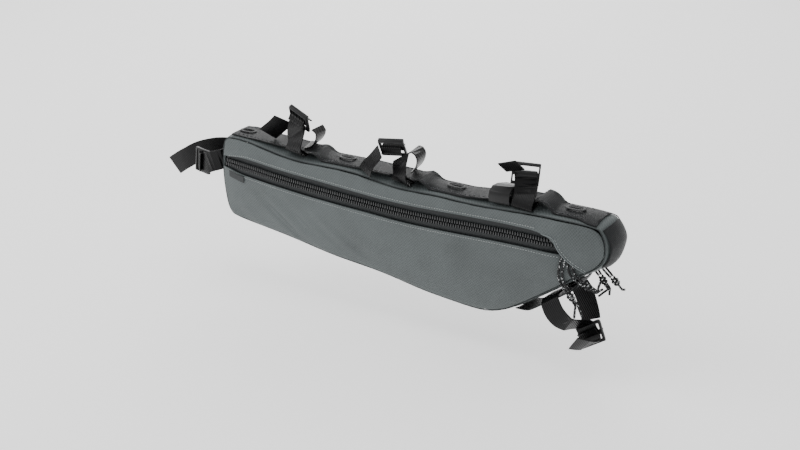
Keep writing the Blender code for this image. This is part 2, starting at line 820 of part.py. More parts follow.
def band_strip(name, start, stop, width, lifts, kind, spans):
    """A strip sewn round the band from one loop place to another, lifted as a table says."""
    sections = []
    for k in range(spans + 1):
        share = k / spans
        t = start + (stop - start) * share
        lift = SEAT_GAP + interpolate(lifts, share)
        free = min(interpolate(lifts, share) / SPAN_HEIGHT, 1.0)
        rims = []
        for rise in (lift + STRIP_THICK, lift):
            middle = band_between(t, 0.0, rise)
            row = []
            for s in STRIP_STATIONS:
                y = s * width / 2
                row.append(band_between(t, y, rise).lerp(Vector((middle.x, y, middle.z)), free))
            rims.append(row)
        sections.append(slab_section(rims[0], rims[1]))
    return loft(name, sections, kind)


def slant_place(share):
    """Loop place at a share of the bag's length along the slanted edge."""
    return loop_place(share * BAG_LENGTH, z_above=False)


def build_patches():
    """The nose patch, the strip on the slanted edge, the rear patch and the bare tag."""
    flat = ((0.0, 0.0), (1.0, 0.0))
    spans = ((0.0, 0.0), (0.05, 0.3 * SPAN_HEIGHT), (0.13, SPAN_HEIGHT), (0.86, SPAN_HEIGHT),
             (0.95, 0.3 * SPAN_HEIGHT), (1.0, 0.0))
    fold = ((0.0, 0.0), (0.2, 0.0002), (0.5, 0.0012), (0.8, 0.0002), (1.0, 0.0))
    band_strip("nose_patch", side_place(-0.045 * BAG_DEPTH, True), side_place(-0.335 * BAG_DEPTH, True),
               NOSE_PATCH_WIDTH, fold, "black_strip", 8)
    tall = [(share, 1.4 * lift) for share, lift in spans]
    band_strip("slant_strip", slant_place(0.440), slant_place(0.290), STRIP_WIDTH, tall, "black_strip", 14)
    band_strip("rear_patch", side_place(-0.420 * BAG_DEPTH, False), side_place(-0.095 * BAG_DEPTH, False),
               REAR_PATCH_WIDTH, spans, "black_strip", 12)
    build_tag(flat)


def build_tag(flat):
    """A small bare tag under the rear end of the zip."""
    x0 = X_REAR + 0.012
    sections = []
    for k in range(4):
        x = x0 + TAG_LENGTH * k / 3
        top = opening_edge(x, -1) - 0.0012 + interpolate(flat, k / 3)
        outer = []
        inner = []
        for j in range(3):
            z = top - TAG_HEIGHT * j / 2
            y = face_out(x, z) + GAP + 0.0002
            outer.append((x, -(y + TAG_THICK), z))
            inner.append((x, -y, z))
        sections.append(slab_section(outer, inner))
    loft("rear_tag", sections, "dark_tape")


# Webbing straps and buckles. A route is a list of rows: the place along, across and out from the
# strap's seat as shares of its reach, then how the webbing's width is turned and tilted, in
# degrees. Rows whose last place is None lie on the band, under the strip.

class Seat:
    """Where a strap is held: a point on the band, the three ways of its routes and their reach."""

    def __init__(self, finder, start, along, out, reach):
        self.finder = finder
        self.origin = band_between(finder(start), 0.0)
        self.along = Vector(along).normalized()
        self.across = Vector((0.0, 1.0, 0.0))
        self.out = Vector(out).normalized()
        self.reach = reach

    def point(self, row):
        """World point of a row."""
        a, c, o = row[:3]
        place = self.origin + self.along * a * self.reach + self.across * c * self.reach
        if o is None:
            lift = SEAT_GAP + STRAP_THICK / 2 + 0.0002
            seat = band_between(self.finder(place), 0.0, lift)
            return Vector((seat.x, place.y, seat.z))
        return place + self.out * o * self.reach

    def missing_height(self, corners):
        """How far a section of webbing must move out to clear the band and its piped seams."""
        missing = 0.0
        middles = [(corners[0] + corners[1]) / 2, (corners[2] + corners[3]) / 2]
        for p in corners + middles:
            if abs(p.y) > HALF_SPREAD + 2 * PIPING_R:
                continue
            try:
                t = self.finder(p)
            except ValueError:
                continue
            y = min(max(p.y, -BAND_EDGE), BAND_EDGE)
            height = (p - band_between(t, y)).dot(self.out)
            if abs(p.y) > BAND_EDGE - 2 * PIPING_R:
                height -= PIPING_R
            missing = max(missing, SEAT_GAP - height)
        return missing

    def width_way(self, row):
        """Direction of the webbing's width at a row."""
        if row[2] is None:
            place = self.origin + self.along * row[0] * self.reach
            t = self.finder(place)
            way = band_between(t + 0.5, 0.0) - band_between(t - 0.5, 0.0)
            level = way.normalized() if way.dot(self.along) > 0 else -way.normalized()
        else:
            level = self.along
        turn = math.radians(row[3])
        tilt = math.radians(row[4])
        level = level * math.cos(turn) + self.across * math.sin(turn)
        return (level * math.cos(tilt) + self.out * math.sin(tilt)).normalized()


RIBBON_STEPS = 2


def ribbon_section(here, way, wide):
    """Four corners of the webbing at a point of its path."""
    wide = (wide - way * wide.dot(way)).normalized()
    thick = way.cross(wide).normalized()
    half_w = wide * STRAP_WIDTH / 2
    half_t = thick * STRAP_THICK / 2
    return [here - half_w - half_t, here + half_w - half_t, here + half_w + half_t, here - half_w + half_t]


def webbing(name, seat, rows, lock, closed=False):
    """A strap of webbing along a smooth curve through a route's rows; closed makes a ring of it."""
    free = [row for row in rows if row[0] != "lock"]
    width = seat.width_way(free[0] if rows[0][0] == "lock" else free[-1])
    keys = []
    for row in rows:
        if row[0] == "lock":
            keys.append(lock.face_key(row, width))
        else:
            keys.append((*seat.point(row), *seat.width_way(row)))
    if closed:
        keys = keys + keys[:3]
        count = len(rows)
        fine = [spline(keys, 1.0 + k) for k in range(count)]
    else:
        count = RIBBON_STEPS * (len(keys) - 1)
        fine = [spline(keys, k / RIBBON_STEPS) for k in range(count + 1)]
    sections = []
    for k, values in enumerate(fine):
        before = fine[k - 1] if closed else fine[max(k - 1, 0)]
        after = fine[(k + 1) % count] if closed else fine[min(k + 1, count)]
        way = (Vector(after[:3]) - Vector(before[:3])).normalized()
        corners = ribbon_section(Vector(values[:3]), way, Vector(values[3:]))
        rise = seat.out * seat.missing_height(corners)
        sections.append([p + rise for p in corners])
    return loft(name, sections, "webbing", closed=closed)


class Lock:
    """Where a ladder-lock lies: its middle, its width, its length from the lip, and its face."""

    def __init__(self, centre, wide, along):
        self.centre = Vector(centre)
        self.wide = Vector(wide).normalized()
        along = Vector(along)
        self.along = (along - self.wide * along.dot(self.wide)).normalized()
        self.up = self.wide.cross(self.along).normalized()

    def slot(self, sign):
        """Middle of the slot by the lip, for a sign of -1, or of the other one."""
        slot_long = (LOCK_LENGTH - 3 * LOCK_BAR) / 2
        return self.centre + self.along * sign * (LOCK_BAR + slot_long) / 2


    def face_key(self, row, width):
        """Point and width of webbing that lies on the buckle, from a row that starts with "lock".

        The row has the place along the buckle and across it as shares of half its size, the
        height over its face in metres and the face, 1 for the up side and -1 for the other.
        """
        along, across, rise, face = row[1:]
        out = face * (LOCK_THICK / 2 + GAP + STRAP_THICK / 2 + rise)
        place = self.centre + self.along * along * LOCK_LENGTH / 2 + self.up * out
        place += self.wide * across * LOCK_WIDTH / 2
        flip = 1.0 if self.wide.dot(Vector(width)) > 0 else -1.0
        return (*place, *(self.wide * flip))


def ladder_lock(name, lock):
    """A ladder-lock buckle: two rails and three bars, with the end bar bent up as a lip."""
    centre, wide, along, up = lock.centre, lock.wide, lock.along, lock.up
    half = LOCK_LENGTH / 2
    thin = LOCK_THICK / 2
    profile = ((-half, -0.3 * thin), (-0.80 * half, -thin), (0.86 * half, -thin), (half, -0.2 * thin),
               (half, 0.6 * thin), (0.55 * half, thin), (-0.55 * half, thin), (-0.80 * half, 1.5 * thin),
               (-half, 1.5 * thin))
    sections = []
    for side in (-1, 1):
        sections.append([centre + wide * side * LOCK_WIDTH / 2 + along * a + up * u
                         for a, u in profile])
    frame = loft(name, sections, "buckle_plastic", smooth=False)
    slot_wide = LOCK_WIDTH - 2 * LOCK_RAIL
    slot_long = (LOCK_LENGTH - 3 * LOCK_BAR) / 2
    for k, sign in enumerate((-1, 1)):
        middle = lock.slot(sign)
        corners = []
        for height in (-3 * LOCK_THICK, 3 * LOCK_THICK):
            corners.append([middle + wide * a * slot_wide / 2 + along * b * slot_long / 2 + up * height
                            for a, b in ((-1, -1), (1, -1), (1, 1), (-1, 1))])
        cutter = loft("%s_cutter_%d" % (name, k + 1), corners, "buckle_plastic", smooth=False)
        cutter.hide_render = True
        cutter.display_type = "WIRE"
        cut(frame, cutter, "slot_%d" % (k + 1))
    return frame


def on_top(place):
    """Loop place above a point of the bag's top."""
    return loop_place(place.x)


def on_rear(place):
    """Loop place behind a point of the bag's rear end."""
    return side_place(place.z, False)


def on_slant(place):
    """Loop place below a point of the slanted edge."""
    return loop_place(place.x, z_above=False)


# Each strap set has its place along the bag, its buckle (middle, width and length) and the rows
# of its strips of webbing. They all end a little in front of the buckle or behind it.
LEG_1 = ((0.46, -0.20, 0.79, 59, -38), (0.33, -0.21, 0.65, 59, -38), (0.18, -0.25, 0.50, 59, -38),
         (-0.065, -0.30, 0.28, 59, -38))
CROSS_1 = ((1.00, 0.42, None, 0, 0), (1.00, 0.16, None, 0, 0), (1.00, -0.12, None, -3, 0),
           (1.01, -0.36, None, -6, 0), (1.04, -0.50, 0.00, -10, 2), (1.06, -0.55, 0.12, -13, 6),
           (1.07, -0.50, 0.30, -14, 8), (1.04, -0.38, 0.46, -13, 4), ("lock", 0.65, 0.0, 0.0036, -1),
           ("lock", 0.2, 0.0, 0.0014, -1), ("lock", -0.2, 0.0, 0.0, -1))
TAIL_1 = ((1.32, 0.26, 0.58, -80, 0), (1.43, 0.26, 0.47, -80, 0), (1.45, 0.22, 0.33, -80, 0),
          (1.38, 0.17, 0.16, -80, 0), (1.24, 0.12, 0.065, -82, 0), (1.10, 0.08, 0.05, -84, 0))
LOCK_1 = ((0.98, -0.12, 0.89), (0.93, -0.20, -0.25), (-0.28, 0.43, -0.86))

LEG_2 = ((0.27, -0.36, 0.68, -28, 14), (0.19, -0.40, 0.56, -28, 14), (0.08, -0.45, 0.40, -28, 12),
         (-0.04, -0.52, 0.22, -26, 8), (-0.10, -0.56, 0.04, -22, 4))
CROSS_2 = ((1.02, 0.40, None, -4, 0), (1.02, 0.16, None, -6, 0), (1.02, -0.12, None, -8, 0),
           (1.03, -0.36, None, -12, 0), (1.06, -0.52, 0.00, -20, 0), (1.05, -0.55, 0.14, -26, 2),
           (1.01, -0.49, 0.28, -30, 4), (0.94, -0.36, 0.44, -30, 6), (0.86, -0.18, 0.57, -30, 8))
TAIL_2 = ((0.98, 0.24, 0.66, -76, 0), (1.10, 0.23, 0.70, -78, 0), (1.25, 0.20, 0.62, -80, 0),
          (1.29, 0.17, 0.44, -80, 0), (1.20, 0.12, 0.22, -80, 0), (1.08, 0.06, 0.125, -84, 0))
LOCK_2 = ((0.52, -0.08, 0.74), (0.97, 0.18, 0.10), (0.24, 0.47, -0.86))

RING_3 = ((0.17, -0.35, None, 0, 0), (0.17, 0.0, None, 0, 0), (0.17, 0.33, None, 0, 0),
          (0.17, 0.475, 0.10, 0, 0), (0.17, 0.46, 0.24, 0, 0), (0.17, 0.20, 0.33, 0, 2),
          (0.17, -0.06, 0.42, 0, 4), (0.17, -0.34, 0.47, 0, 8), (0.17, -0.50, 0.36, 0, 8),
          (0.17, -0.53, 0.18, 0, 6), (0.17, -0.49, 0.05, 0, 2))
CROSS_3 = ((0.85, 0.34, None, 0, 0), (0.85, 0.05, None, -2, 0), (0.85, -0.25, None, -4, 0),
           (0.86, -0.46, -0.03, -5, 0), (0.86, -0.54, 0.10, -4, 0), (0.86, -0.47, 0.26, -2, 0),
           (0.87, -0.36, 0.42, 0, 0), ("lock", 0.65, 0.1, 0.0024, -1),
           ("lock", 0.25, 0.05, 0.0008, -1), ("lock", -0.15, 0.0, 0.0, -1))
TAIL_3 = ((0.48, -0.218, 0.95, -4, 15), (0.41, -0.34, 1.09, -4, 15), (0.33, -0.46, 1.24, -4, 15))
LOCK_3 = ((0.65, 0.04, 0.81), (0.86, 0.48, -0.10), (0.10, -0.20, -0.95))

TOP_STRAPS = ((-0.372, LOCK_1, {"leg": LEG_1, "cross": CROSS_1, "tail": TAIL_1}),
              (-0.082, LOCK_2, {"leg": LEG_2, "cross": CROSS_2, "tail": TAIL_2}),
              (0.236, LOCK_3, {"ring": RING_3, "cross": CROSS_3, "tail": TAIL_3}))

# Routes of the rear strap, whose width stands upright, and of the strap on the slanted edge
REAR_LOCK = ((-0.17, -0.27, 0.62), (0.10, 0.02, 0.99), (0.97, -0.05, -0.10))
REAR_STRAPS = {
    "near": ((0.04, 0.04, None, 0, 0), (0.02, -0.12, None, 0, 0), (0.00, -0.30, 0.045, 0, 0),
             (-0.03, -0.38, 0.14, 0, 0), (-0.08, -0.42, 0.30, 0, 0), ("lock", 0.6, 0.0, 0.0022, -1), ("lock", 0.2, 0.0, 0.0007, -1),
             ("lock", -0.3, 0.0, 0.0, -1)),
    "far": ((0.05, 0.18, None, 0, 0), (0.04, 0.30, 0.045, 0, 0), (0.02, 0.35, 0.20, 0, 0),
            (0.00, 0.24, 0.58, 0, 0), (-0.12, 0.08, 0.98, 0, 0), (-0.26, 0.00, 1.20, -4, 0),
            (-0.42, -0.02, 1.45, -6, 0), (-0.60, 0.00, 1.70, -8, 0)),
}
LOWER_LOCK = ((0.20, -0.04, 1.06), (-0.82, -0.05, -0.57), (0.67, -0.38, -0.64))
LOWER_STRAPS = {
    "near": ((0.02, 0.04, None, 0, 0), (0.00, -0.12, None, 0, 0), (0.00, -0.30, 0.05, 0, 0),
             (-0.02, -0.38, 0.20, 0, 0), (-0.01, -0.40, 0.42, 0, 0), (0.06, -0.33, 0.66, 0, 0),
             ("lock", -1.0, 0.0, 0.0062, 1), ("lock", -0.5, 0.0, 0.0026, 1), ("lock", -0.1, 0.0, 0.0, 1)),
    "far": ((0.26, 0.20, None, 0, 0), (0.28, 0.30, 0.05, 0, 0), (0.30, 0.35, 0.20, 0, 0),
            (0.29, 0.31, 0.44, 0, 0), (0.25, 0.24, 0.70, 0, 0), (0.22, 0.18, 0.84, 0, 0)),
    "tail": (("lock", 0.20, 0.0, 0.0, 1), ("lock", 0.75, 0.0, 0.0006, 1), (0.20, -0.28, 1.19, 0, 0),
             (0.13, -0.40, 1.10, 0, 0), (0.06, -0.50, 0.99, 0, 0)),
}


def strap_set(prefix, seat, values, parts):
    """A buckle and the strips of webbing that lead up to it."""
    lock = Lock(seat.point(values[0]), values[1], values[2])
    ladder_lock(prefix + "_buckle", lock)
    for part, route in parts.items():
        webbing("%s_%s" % (prefix, part), seat, route, lock, closed=part == "ring")


def build_straps():
    """Three straps for the top tube, one at the rear and one on the slanted edge."""
    for k, (share, values, parts) in enumerate(TOP_STRAPS):
        start = Vector((share * BAG_LENGTH, 0.0, 0.0))
        seat = Seat(on_top, start, (1, 0, 0), (0, 0, 1), LOOP_HEIGHT)
        strap_set("top_strap_%d" % (k + 1), seat, values, parts)
    rear = Seat(on_rear, Vector((0, 0, -0.250 * BAG_DEPTH)), (0, 0, 1), (-1, 0, 0), REAR_LOOP)
    strap_set("rear_strap", rear, REAR_LOCK, REAR_STRAPS)
    along = Vector((0.79, 0.0, 0.61))
    out = Vector((0.61, 0.0, -0.79))
    lower = Seat(on_slant, Vector((0.365 * BAG_LENGTH, 0, 0)), along, out, LOWER_LOOP)
    strap_set("lower_strap", lower, LOWER_LOCK, LOWER_STRAPS)


# Pull cords, as X and Z in metres of hand-placed points: down one strand from the slider to the
# knot, down the other one, the knot, and the tails below it
PULLS = {
    "near_pull_1": (-1, ((0.2072, -0.0318), (0.2057, -0.0400), (0.2040, -0.0545), (0.2036, -0.0672),
                         (0.2075, -0.0770)),
                    ((0.2092, -0.0415), (0.2081, -0.0538), (0.2076, -0.0667), (0.2106, -0.0750)),
                    (0.2168, -0.0853), ((0.2223, -0.1093), (0.2310, -0.1050))),
    "near_pull_2": (-1, ((0.2160, -0.0322), (0.2126, -0.0412), (0.2133, -0.0500), (0.2165, -0.0600),
                         (0.2240, -0.0675)),
                    ((0.2165, -0.0430), (0.2182, -0.0520), (0.2220, -0.0598), (0.2265, -0.0636)),
                    (0.2353, -0.0685), ((0.2496, -0.0600), (0.2525, -0.0672))),
    "far_pull_1": (1, ((0.2072, -0.0318), (0.2058, -0.0420), (0.2085, -0.0545), (0.2150, -0.0670),
                       (0.2215, -0.0760)),
                   ((0.2098, -0.0425), (0.2118, -0.0550), (0.2180, -0.0650), (0.2245, -0.0735)),
                   (0.2301, -0.0836), ((0.2262, -0.1045), (0.2385, -0.0995))),
    "far_pull_2": (1, ((0.2165, -0.0322), (0.2135, -0.0420), (0.2165, -0.0540), (0.2260, -0.0670),
                       (0.2355, -0.0760)),
                   ((0.2165, -0.0430), (0.2195, -0.0530), (0.2290, -0.0645), (0.2375, -0.0725)),
                   (0.2443, -0.0815), ((0.2560, -0.0885),)),
}
CORD_STEP = 0.0068


def cord_seat(x, z):
    """Distance of a cord's middle from the middle plane where it rests on the face at x and z."""
    rest = face_out(x, z) + CORD_R + 4 * GAP - 0.80 * garage(x, z)
    low = edge_height(LOOP, x, False)
    if low is None or z < low + 0.006:
        rest = max(rest, HALF_SPREAD + PIPING_R + CORD_R + 2 * GAP)
    return rest


def tube(name, points):
    """A round cord along hand-placed points, as one smooth tube with closed ends."""
    last = len(points) - 1
    fine = [spline(points, last * k / 200) for k in range(201)]
    length = sum((Vector(b) - Vector(a)).length for a, b in zip(fine, fine[1:]))
    path = resample(fine, max(round(length / CORD_STEP), 2) + 1)
    curve = bpy.data.curves.new(name, "CURVE")
    curve.dimensions = "3D"
    curve.bevel_depth = CORD_R
    curve.bevel_resolution = 2
    curve.use_fill_caps = True
    line = curve.splines.new("POLY")
    line.points.add(len(path) - 1)
    for point, place in zip(line.points, path):
        point.co = (*place, 1.0)
    obj = bpy.data.objects.new(name, curve)
    bpy.context.scene.collection.objects.link(obj)
    own_material(obj, "cord_weave")
    return obj


def build_pull(name, side, down, back, knot, tails):
    """One pull: a doubled cord from the slider, its knot and the tails below the knot."""
    x, z = knot
    lift = cord_seat(x, z) + 0.0006
    centre = Vector((x, side * lift, z))
    last = (Vector(down[-1]) + Vector(back[-1])) / 2
    ahead = (Vector(knot) - last).normalized()
    beside = Vector((-ahead.y, ahead.x))
    reach = KNOT_LONG * math.cos(KNOT_TRIM) + 2 * GAP
    loop = [(x, side * cord_seat(x, z), z) for x, z in list(reversed(down)) + list(back)]
    ends = []
    for strand in (down, back):
        sign = 1.0 if beside.dot(Vector(strand[-1]) - last) > 0 else -1.0
        place = Vector(knot) - ahead * reach + beside * sign * (CORD_R + GAP)
        ends.append((place.x, side * lift, place.y))
    tube(name + "_cord", [ends[0]] + loop + [ends[1]])
    way = Vector((ahead.x, 0.0, ahead.y))
    flat = Vector((0.0, 1.0, 0.0))
    third = way.cross(flat)
    sections = []
    for k in range(6):
        a = KNOT_TRIM + (math.pi - 2 * KNOT_TRIM) * k / 5
        radius = KNOT_R * math.sin(a)
        middle = centre - way * KNOT_LONG * math.cos(a)
        sections.append([middle + third * radius * math.cos(b) + flat * 0.8 * radius * math.sin(b)
                         for b in (2 * math.pi * j / 8 for j in range(8))])
    loft(name + "_knot", sections, "cord_weave")
    middle = sum((Vector(end) for end in tails), Vector((0.0, 0.0))) / len(tails)
    for k, end in enumerate(tails):
        part = beside.dot(Vector(end) - middle)
        sign = math.copysign(1.0, part) if len(tails) > 1 else 0.0
        start = Vector(knot) + ahead * reach + beside * sign * (CORD_R + GAP)
        straight = start + ahead * 4 * CORD_R
        half = straight.lerp(Vector(end), 0.5)
        points = [(p[0], side * lift, p[1]) for p in (start, straight, half, end)]
        tube("%s_tail_%d" % (name, k + 1), points)


def build_all():
    """Build the whole bag."""
    clear_scene()
    build_band()
    for side, label in ((-1, "near"), (1, "far")):
        build_piping(side, label)
        build_lower_panel(side, label)
        build_upper_panel(side, label)
        build_zip(side, label)
        for index in range(2):
            build_slider(side, label, index)
    build_top_strip()
    for k in range(SLOT_COUNT):
        build_slot_ring(k)
    build_patches()
    build_straps()
    for name, values in PULLS.items():
        build_pull(name, *values)


build_all()
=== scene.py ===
"""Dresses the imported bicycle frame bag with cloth, webbing, zips, stitches and cords.

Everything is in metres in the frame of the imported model: X along the bag towards its nose, Y away
from the camera's side and Z up. The camera stands where the photograph was taken from.
"""

from __future__ import annotations

import json
import logging
import math
from dataclasses import dataclass, field
from enum import Enum
from typing import Callable, Iterable, Sequence

import bmesh
import bpy
from mathutils import Matrix, Vector, noise
from mathutils.bvhtree import BVHTree

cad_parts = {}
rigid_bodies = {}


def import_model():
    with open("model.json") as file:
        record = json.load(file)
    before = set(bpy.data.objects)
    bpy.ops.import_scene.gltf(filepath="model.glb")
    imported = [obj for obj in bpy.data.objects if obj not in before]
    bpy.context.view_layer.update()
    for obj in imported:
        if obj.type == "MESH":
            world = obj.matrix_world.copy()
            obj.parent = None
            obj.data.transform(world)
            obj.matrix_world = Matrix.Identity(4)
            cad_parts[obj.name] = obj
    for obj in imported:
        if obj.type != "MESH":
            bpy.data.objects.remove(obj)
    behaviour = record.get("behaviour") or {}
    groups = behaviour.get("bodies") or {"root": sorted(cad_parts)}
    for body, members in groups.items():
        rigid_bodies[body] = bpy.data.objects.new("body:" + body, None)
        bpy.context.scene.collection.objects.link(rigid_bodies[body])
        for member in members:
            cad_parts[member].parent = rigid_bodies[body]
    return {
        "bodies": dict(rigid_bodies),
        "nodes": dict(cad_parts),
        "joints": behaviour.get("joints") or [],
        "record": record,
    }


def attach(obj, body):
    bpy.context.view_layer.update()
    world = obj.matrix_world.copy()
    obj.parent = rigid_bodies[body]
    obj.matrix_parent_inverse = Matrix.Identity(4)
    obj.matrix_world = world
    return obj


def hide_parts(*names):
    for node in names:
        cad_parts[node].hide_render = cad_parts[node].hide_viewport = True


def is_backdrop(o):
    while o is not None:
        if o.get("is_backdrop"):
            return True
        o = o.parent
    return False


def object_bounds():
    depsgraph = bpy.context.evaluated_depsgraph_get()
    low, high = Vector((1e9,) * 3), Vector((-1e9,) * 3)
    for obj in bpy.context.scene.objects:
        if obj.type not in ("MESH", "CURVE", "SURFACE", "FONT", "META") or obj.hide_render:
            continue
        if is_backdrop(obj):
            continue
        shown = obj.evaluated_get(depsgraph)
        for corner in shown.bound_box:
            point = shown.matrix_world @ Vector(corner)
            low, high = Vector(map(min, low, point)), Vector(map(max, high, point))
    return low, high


LOG = logging.getLogger("frame_bag")
Colour = tuple[float, float, float]
Place = tuple[float, float, float]
Spot = tuple[float, float]


class Side(Enum):
    """The two faces of the bag and the sign of Y on each."""

    NEAR = -1
    FAR = 1

    @property
    def label(self) -> str:
        """Prefix of the face's node names."""
        return self.name.lower()


@dataclass(frozen=True)
class CameraPose:
    """Where the photograph was taken from."""

    azimuth: float = 32.84
    elevation: float = 24.18
    roll: float = -0.10
    distance: float = 1.574
    lens: float = 62.06
    target: Place = (-0.0127, 0.0, -0.0682)


@dataclass(frozen=True)
class Lamp:
    """One white soft box: its middle, size and power. It faces the bag."""

    name: str
    place: Place
    width: float
    height: float
    power: float


@dataclass(frozen=True)
class Weave:
    """The look of one material.

    The colour runs from base to second. Pitch and rib are the spacings of the woven grid and of the
    ribs, shine is the specular level, and the last field is painted shade: it darkens the cloth towards the
    low nose, where the panel curves down and faces away from the light.
    """

    name: str
    base: Colour
    second: Colour
    roughness: float
    spread: float = 0.06
    metallic: float = 0.0
    pitch: float = 0.0
    rib: float = 0.0
    bump: float = 0.0003
    grain: float = 900.0
    flecks: float = 0.0
    sheen: float = 0.0
    shine: float = 0.5
    # Strength of the painted shade towards the low nose; zero paints none.
    painted_shade: float = 0.0


# The cloth carries painted shade (0.75), darker towards the low nose, where the panel faces away from the
# light.
CLOTH = Weave("laminated_cloth", (0.036, 0.043, 0.0435), (0.086, 0.101, 0.102), 0.60, pitch=0.0036,
              bump=0.00022, sheen=0.03, painted_shade=0.75)
BAND_CLOTH = Weave("gusset_cloth", (0.036, 0.043, 0.0435), (0.084, 0.099, 0.100), 0.62, pitch=0.0036,
                   bump=0.00022, sheen=0.03)
STRIP = Weave("grip_cloth", (0.0075, 0.008, 0.0085), (0.017, 0.018, 0.019), 0.46, pitch=0.0022, bump=0.0003,
              shine=0.16)
TAPE = Weave("coated_tape", (0.010, 0.012, 0.013), (0.018, 0.021, 0.022), 0.42, rib=0.0016, bump=0.00012,
             shine=0.30)
WEBBING = Weave("woven_webbing", (0.0022, 0.0022, 0.0024), (0.006, 0.006, 0.0064), 0.27, spread=0.07,
                rib=0.0021, bump=0.00018, shine=0.16)
PLASTIC = Weave("moulded_plastic", (0.005, 0.005, 0.0055), (0.008, 0.008, 0.0085), 0.32, bump=0.00005,
                grain=500.0, shine=0.28)
TOOTH = Weave("tooth_plastic", (0.008, 0.009, 0.010), (0.013, 0.014, 0.015), 0.24, bump=0.00004, shine=0.6)
RUBBER = Weave("soft_ring", (0.012, 0.013, 0.014), (0.018, 0.019, 0.020), 0.45, bump=0.00008, shine=0.22)
METAL = Weave("coated_metal", (0.020, 0.020, 0.022), (0.032, 0.032, 0.034), 0.30, metallic=0.6,
              bump=0.00004)
CORD = Weave("braided_cord", (0.006, 0.006, 0.0065), (0.014, 0.014, 0.015), 0.62, bump=0.00030,
             grain=1500.0, flecks=0.80, shine=0.25)
PIPING = Weave("seam_piping", (0.024, 0.028, 0.029), (0.040, 0.046, 0.047), 0.58, bump=0.00012, shine=0.25)
HEM = Weave("folded_hem", (0.085, 0.098, 0.100), (0.135, 0.152, 0.156), 0.58, bump=0.00010)
THREAD = Weave("pale_thread", (0.26, 0.28, 0.28), (0.34, 0.36, 0.36), 0.60, bump=0.00005)
DARK_THREAD = Weave("dark_thread", (0.045, 0.050, 0.052), (0.07, 0.075, 0.078), 0.60, bump=0.00005)

LAMPS = (
    Lamp("key_box", (-1.5, -1.0, 1.3), 1.6, 1.2, 22.0),
    Lamp("back_box", (-0.95, 1.45, 0.80), 1.5, 0.7, 13.0),
    Lamp("top_box", (0.15, 0.1, 1.7), 1.4, 0.9, 9.0),
)


@dataclass(frozen=True)
class Value:
    """A shader value that can be combined with the usual arithmetic signs."""

    graph: Graph
    socket: bpy.types.NodeSocket

    def math(self, operation: str, other: "Value | float | None" = None) -> "Value":
        """Combine with another value.

        Args:
            operation: Name of the Math node's operation.
            other: The second value, if the operation takes one.

        Returns:
            The new value.
        """
        inputs: dict[int, object] = {0: self}
        if other is not None:
            inputs[1] = other
        node = self.graph.node("ShaderNodeMath", inputs, operation=operation)
        return Value(self.graph, node.outputs[0])

    def __add__(self, other: "Value | float") -> "Value":
        """Sum of two values."""
        return self.math("ADD", other)

    def __sub__(self, other: "Value | float") -> "Value":
        """Difference of two values."""
        return self.math("SUBTRACT", other)

    def __mul__(self, other: "Value | float") -> "Value":
        """Product of two values."""
        return self.math("MULTIPLY", other)

    def sine(self) -> "Value":
        """Sine of the value."""
        return self.math("SINE")


class Graph:
    """The node graph of one material, with one way to make a node."""

    def __init__(self, name: str) -> None:
        """Start a material with its Principled shader.

        Args:
            name: Name of the material.
        """
        self.material = bpy.data.materials.new(name)
        self.material.use_nodes = True
        self.tree = self.material.node_tree
        self.shader = self.tree.nodes["Principled BSDF"]

    def node(self, kind: str, inputs: dict | None = None, **settings: object) -> bpy.types.Node:
        """Make a node, set its properties and fill its inputs.

        Args:
            kind: Type name of the node.
            inputs: Values, sockets or numbers by input name or number.
            settings: Properties of the node.

        Returns:
            The new node.
        """
        made = self.tree.nodes.new(kind)
        for key, value in settings.items():
            setattr(made, key, value)
        for key, value in (inputs or {}).items():
            self.fill(made.inputs[key], value)
        return made

    def fill(self, socket: bpy.types.NodeSocket, value: object) -> None:
        """Link a value to a socket, or set the socket's number.

        Args:
            socket: The input socket.
            value: A Value, an output socket or a plain number or tuple.
        """
        if isinstance(value, Value):
            value = value.socket
        if isinstance(value, bpy.types.NodeSocket):
            self.tree.links.new(value, socket)
        else:
            socket.default_value = value

    def blend(self, factor: Value, first: object, second: object) -> bpy.types.NodeSocket:
        """Mix two colours.

        Args:
            factor: Share of the second colour, held between 0 and 1.
            first: A colour or a colour socket.
            second: A colour or a colour socket.

        Returns:
            The mixed colour.
        """
        mixed = self.node("ShaderNodeMix", data_type="RGBA", clamp_factor=True)
        for key, value in (("Factor", factor), ("A", first), ("B", second)):
            self.fill(mixed.inputs[key], value)
        return mixed.outputs["Result"]


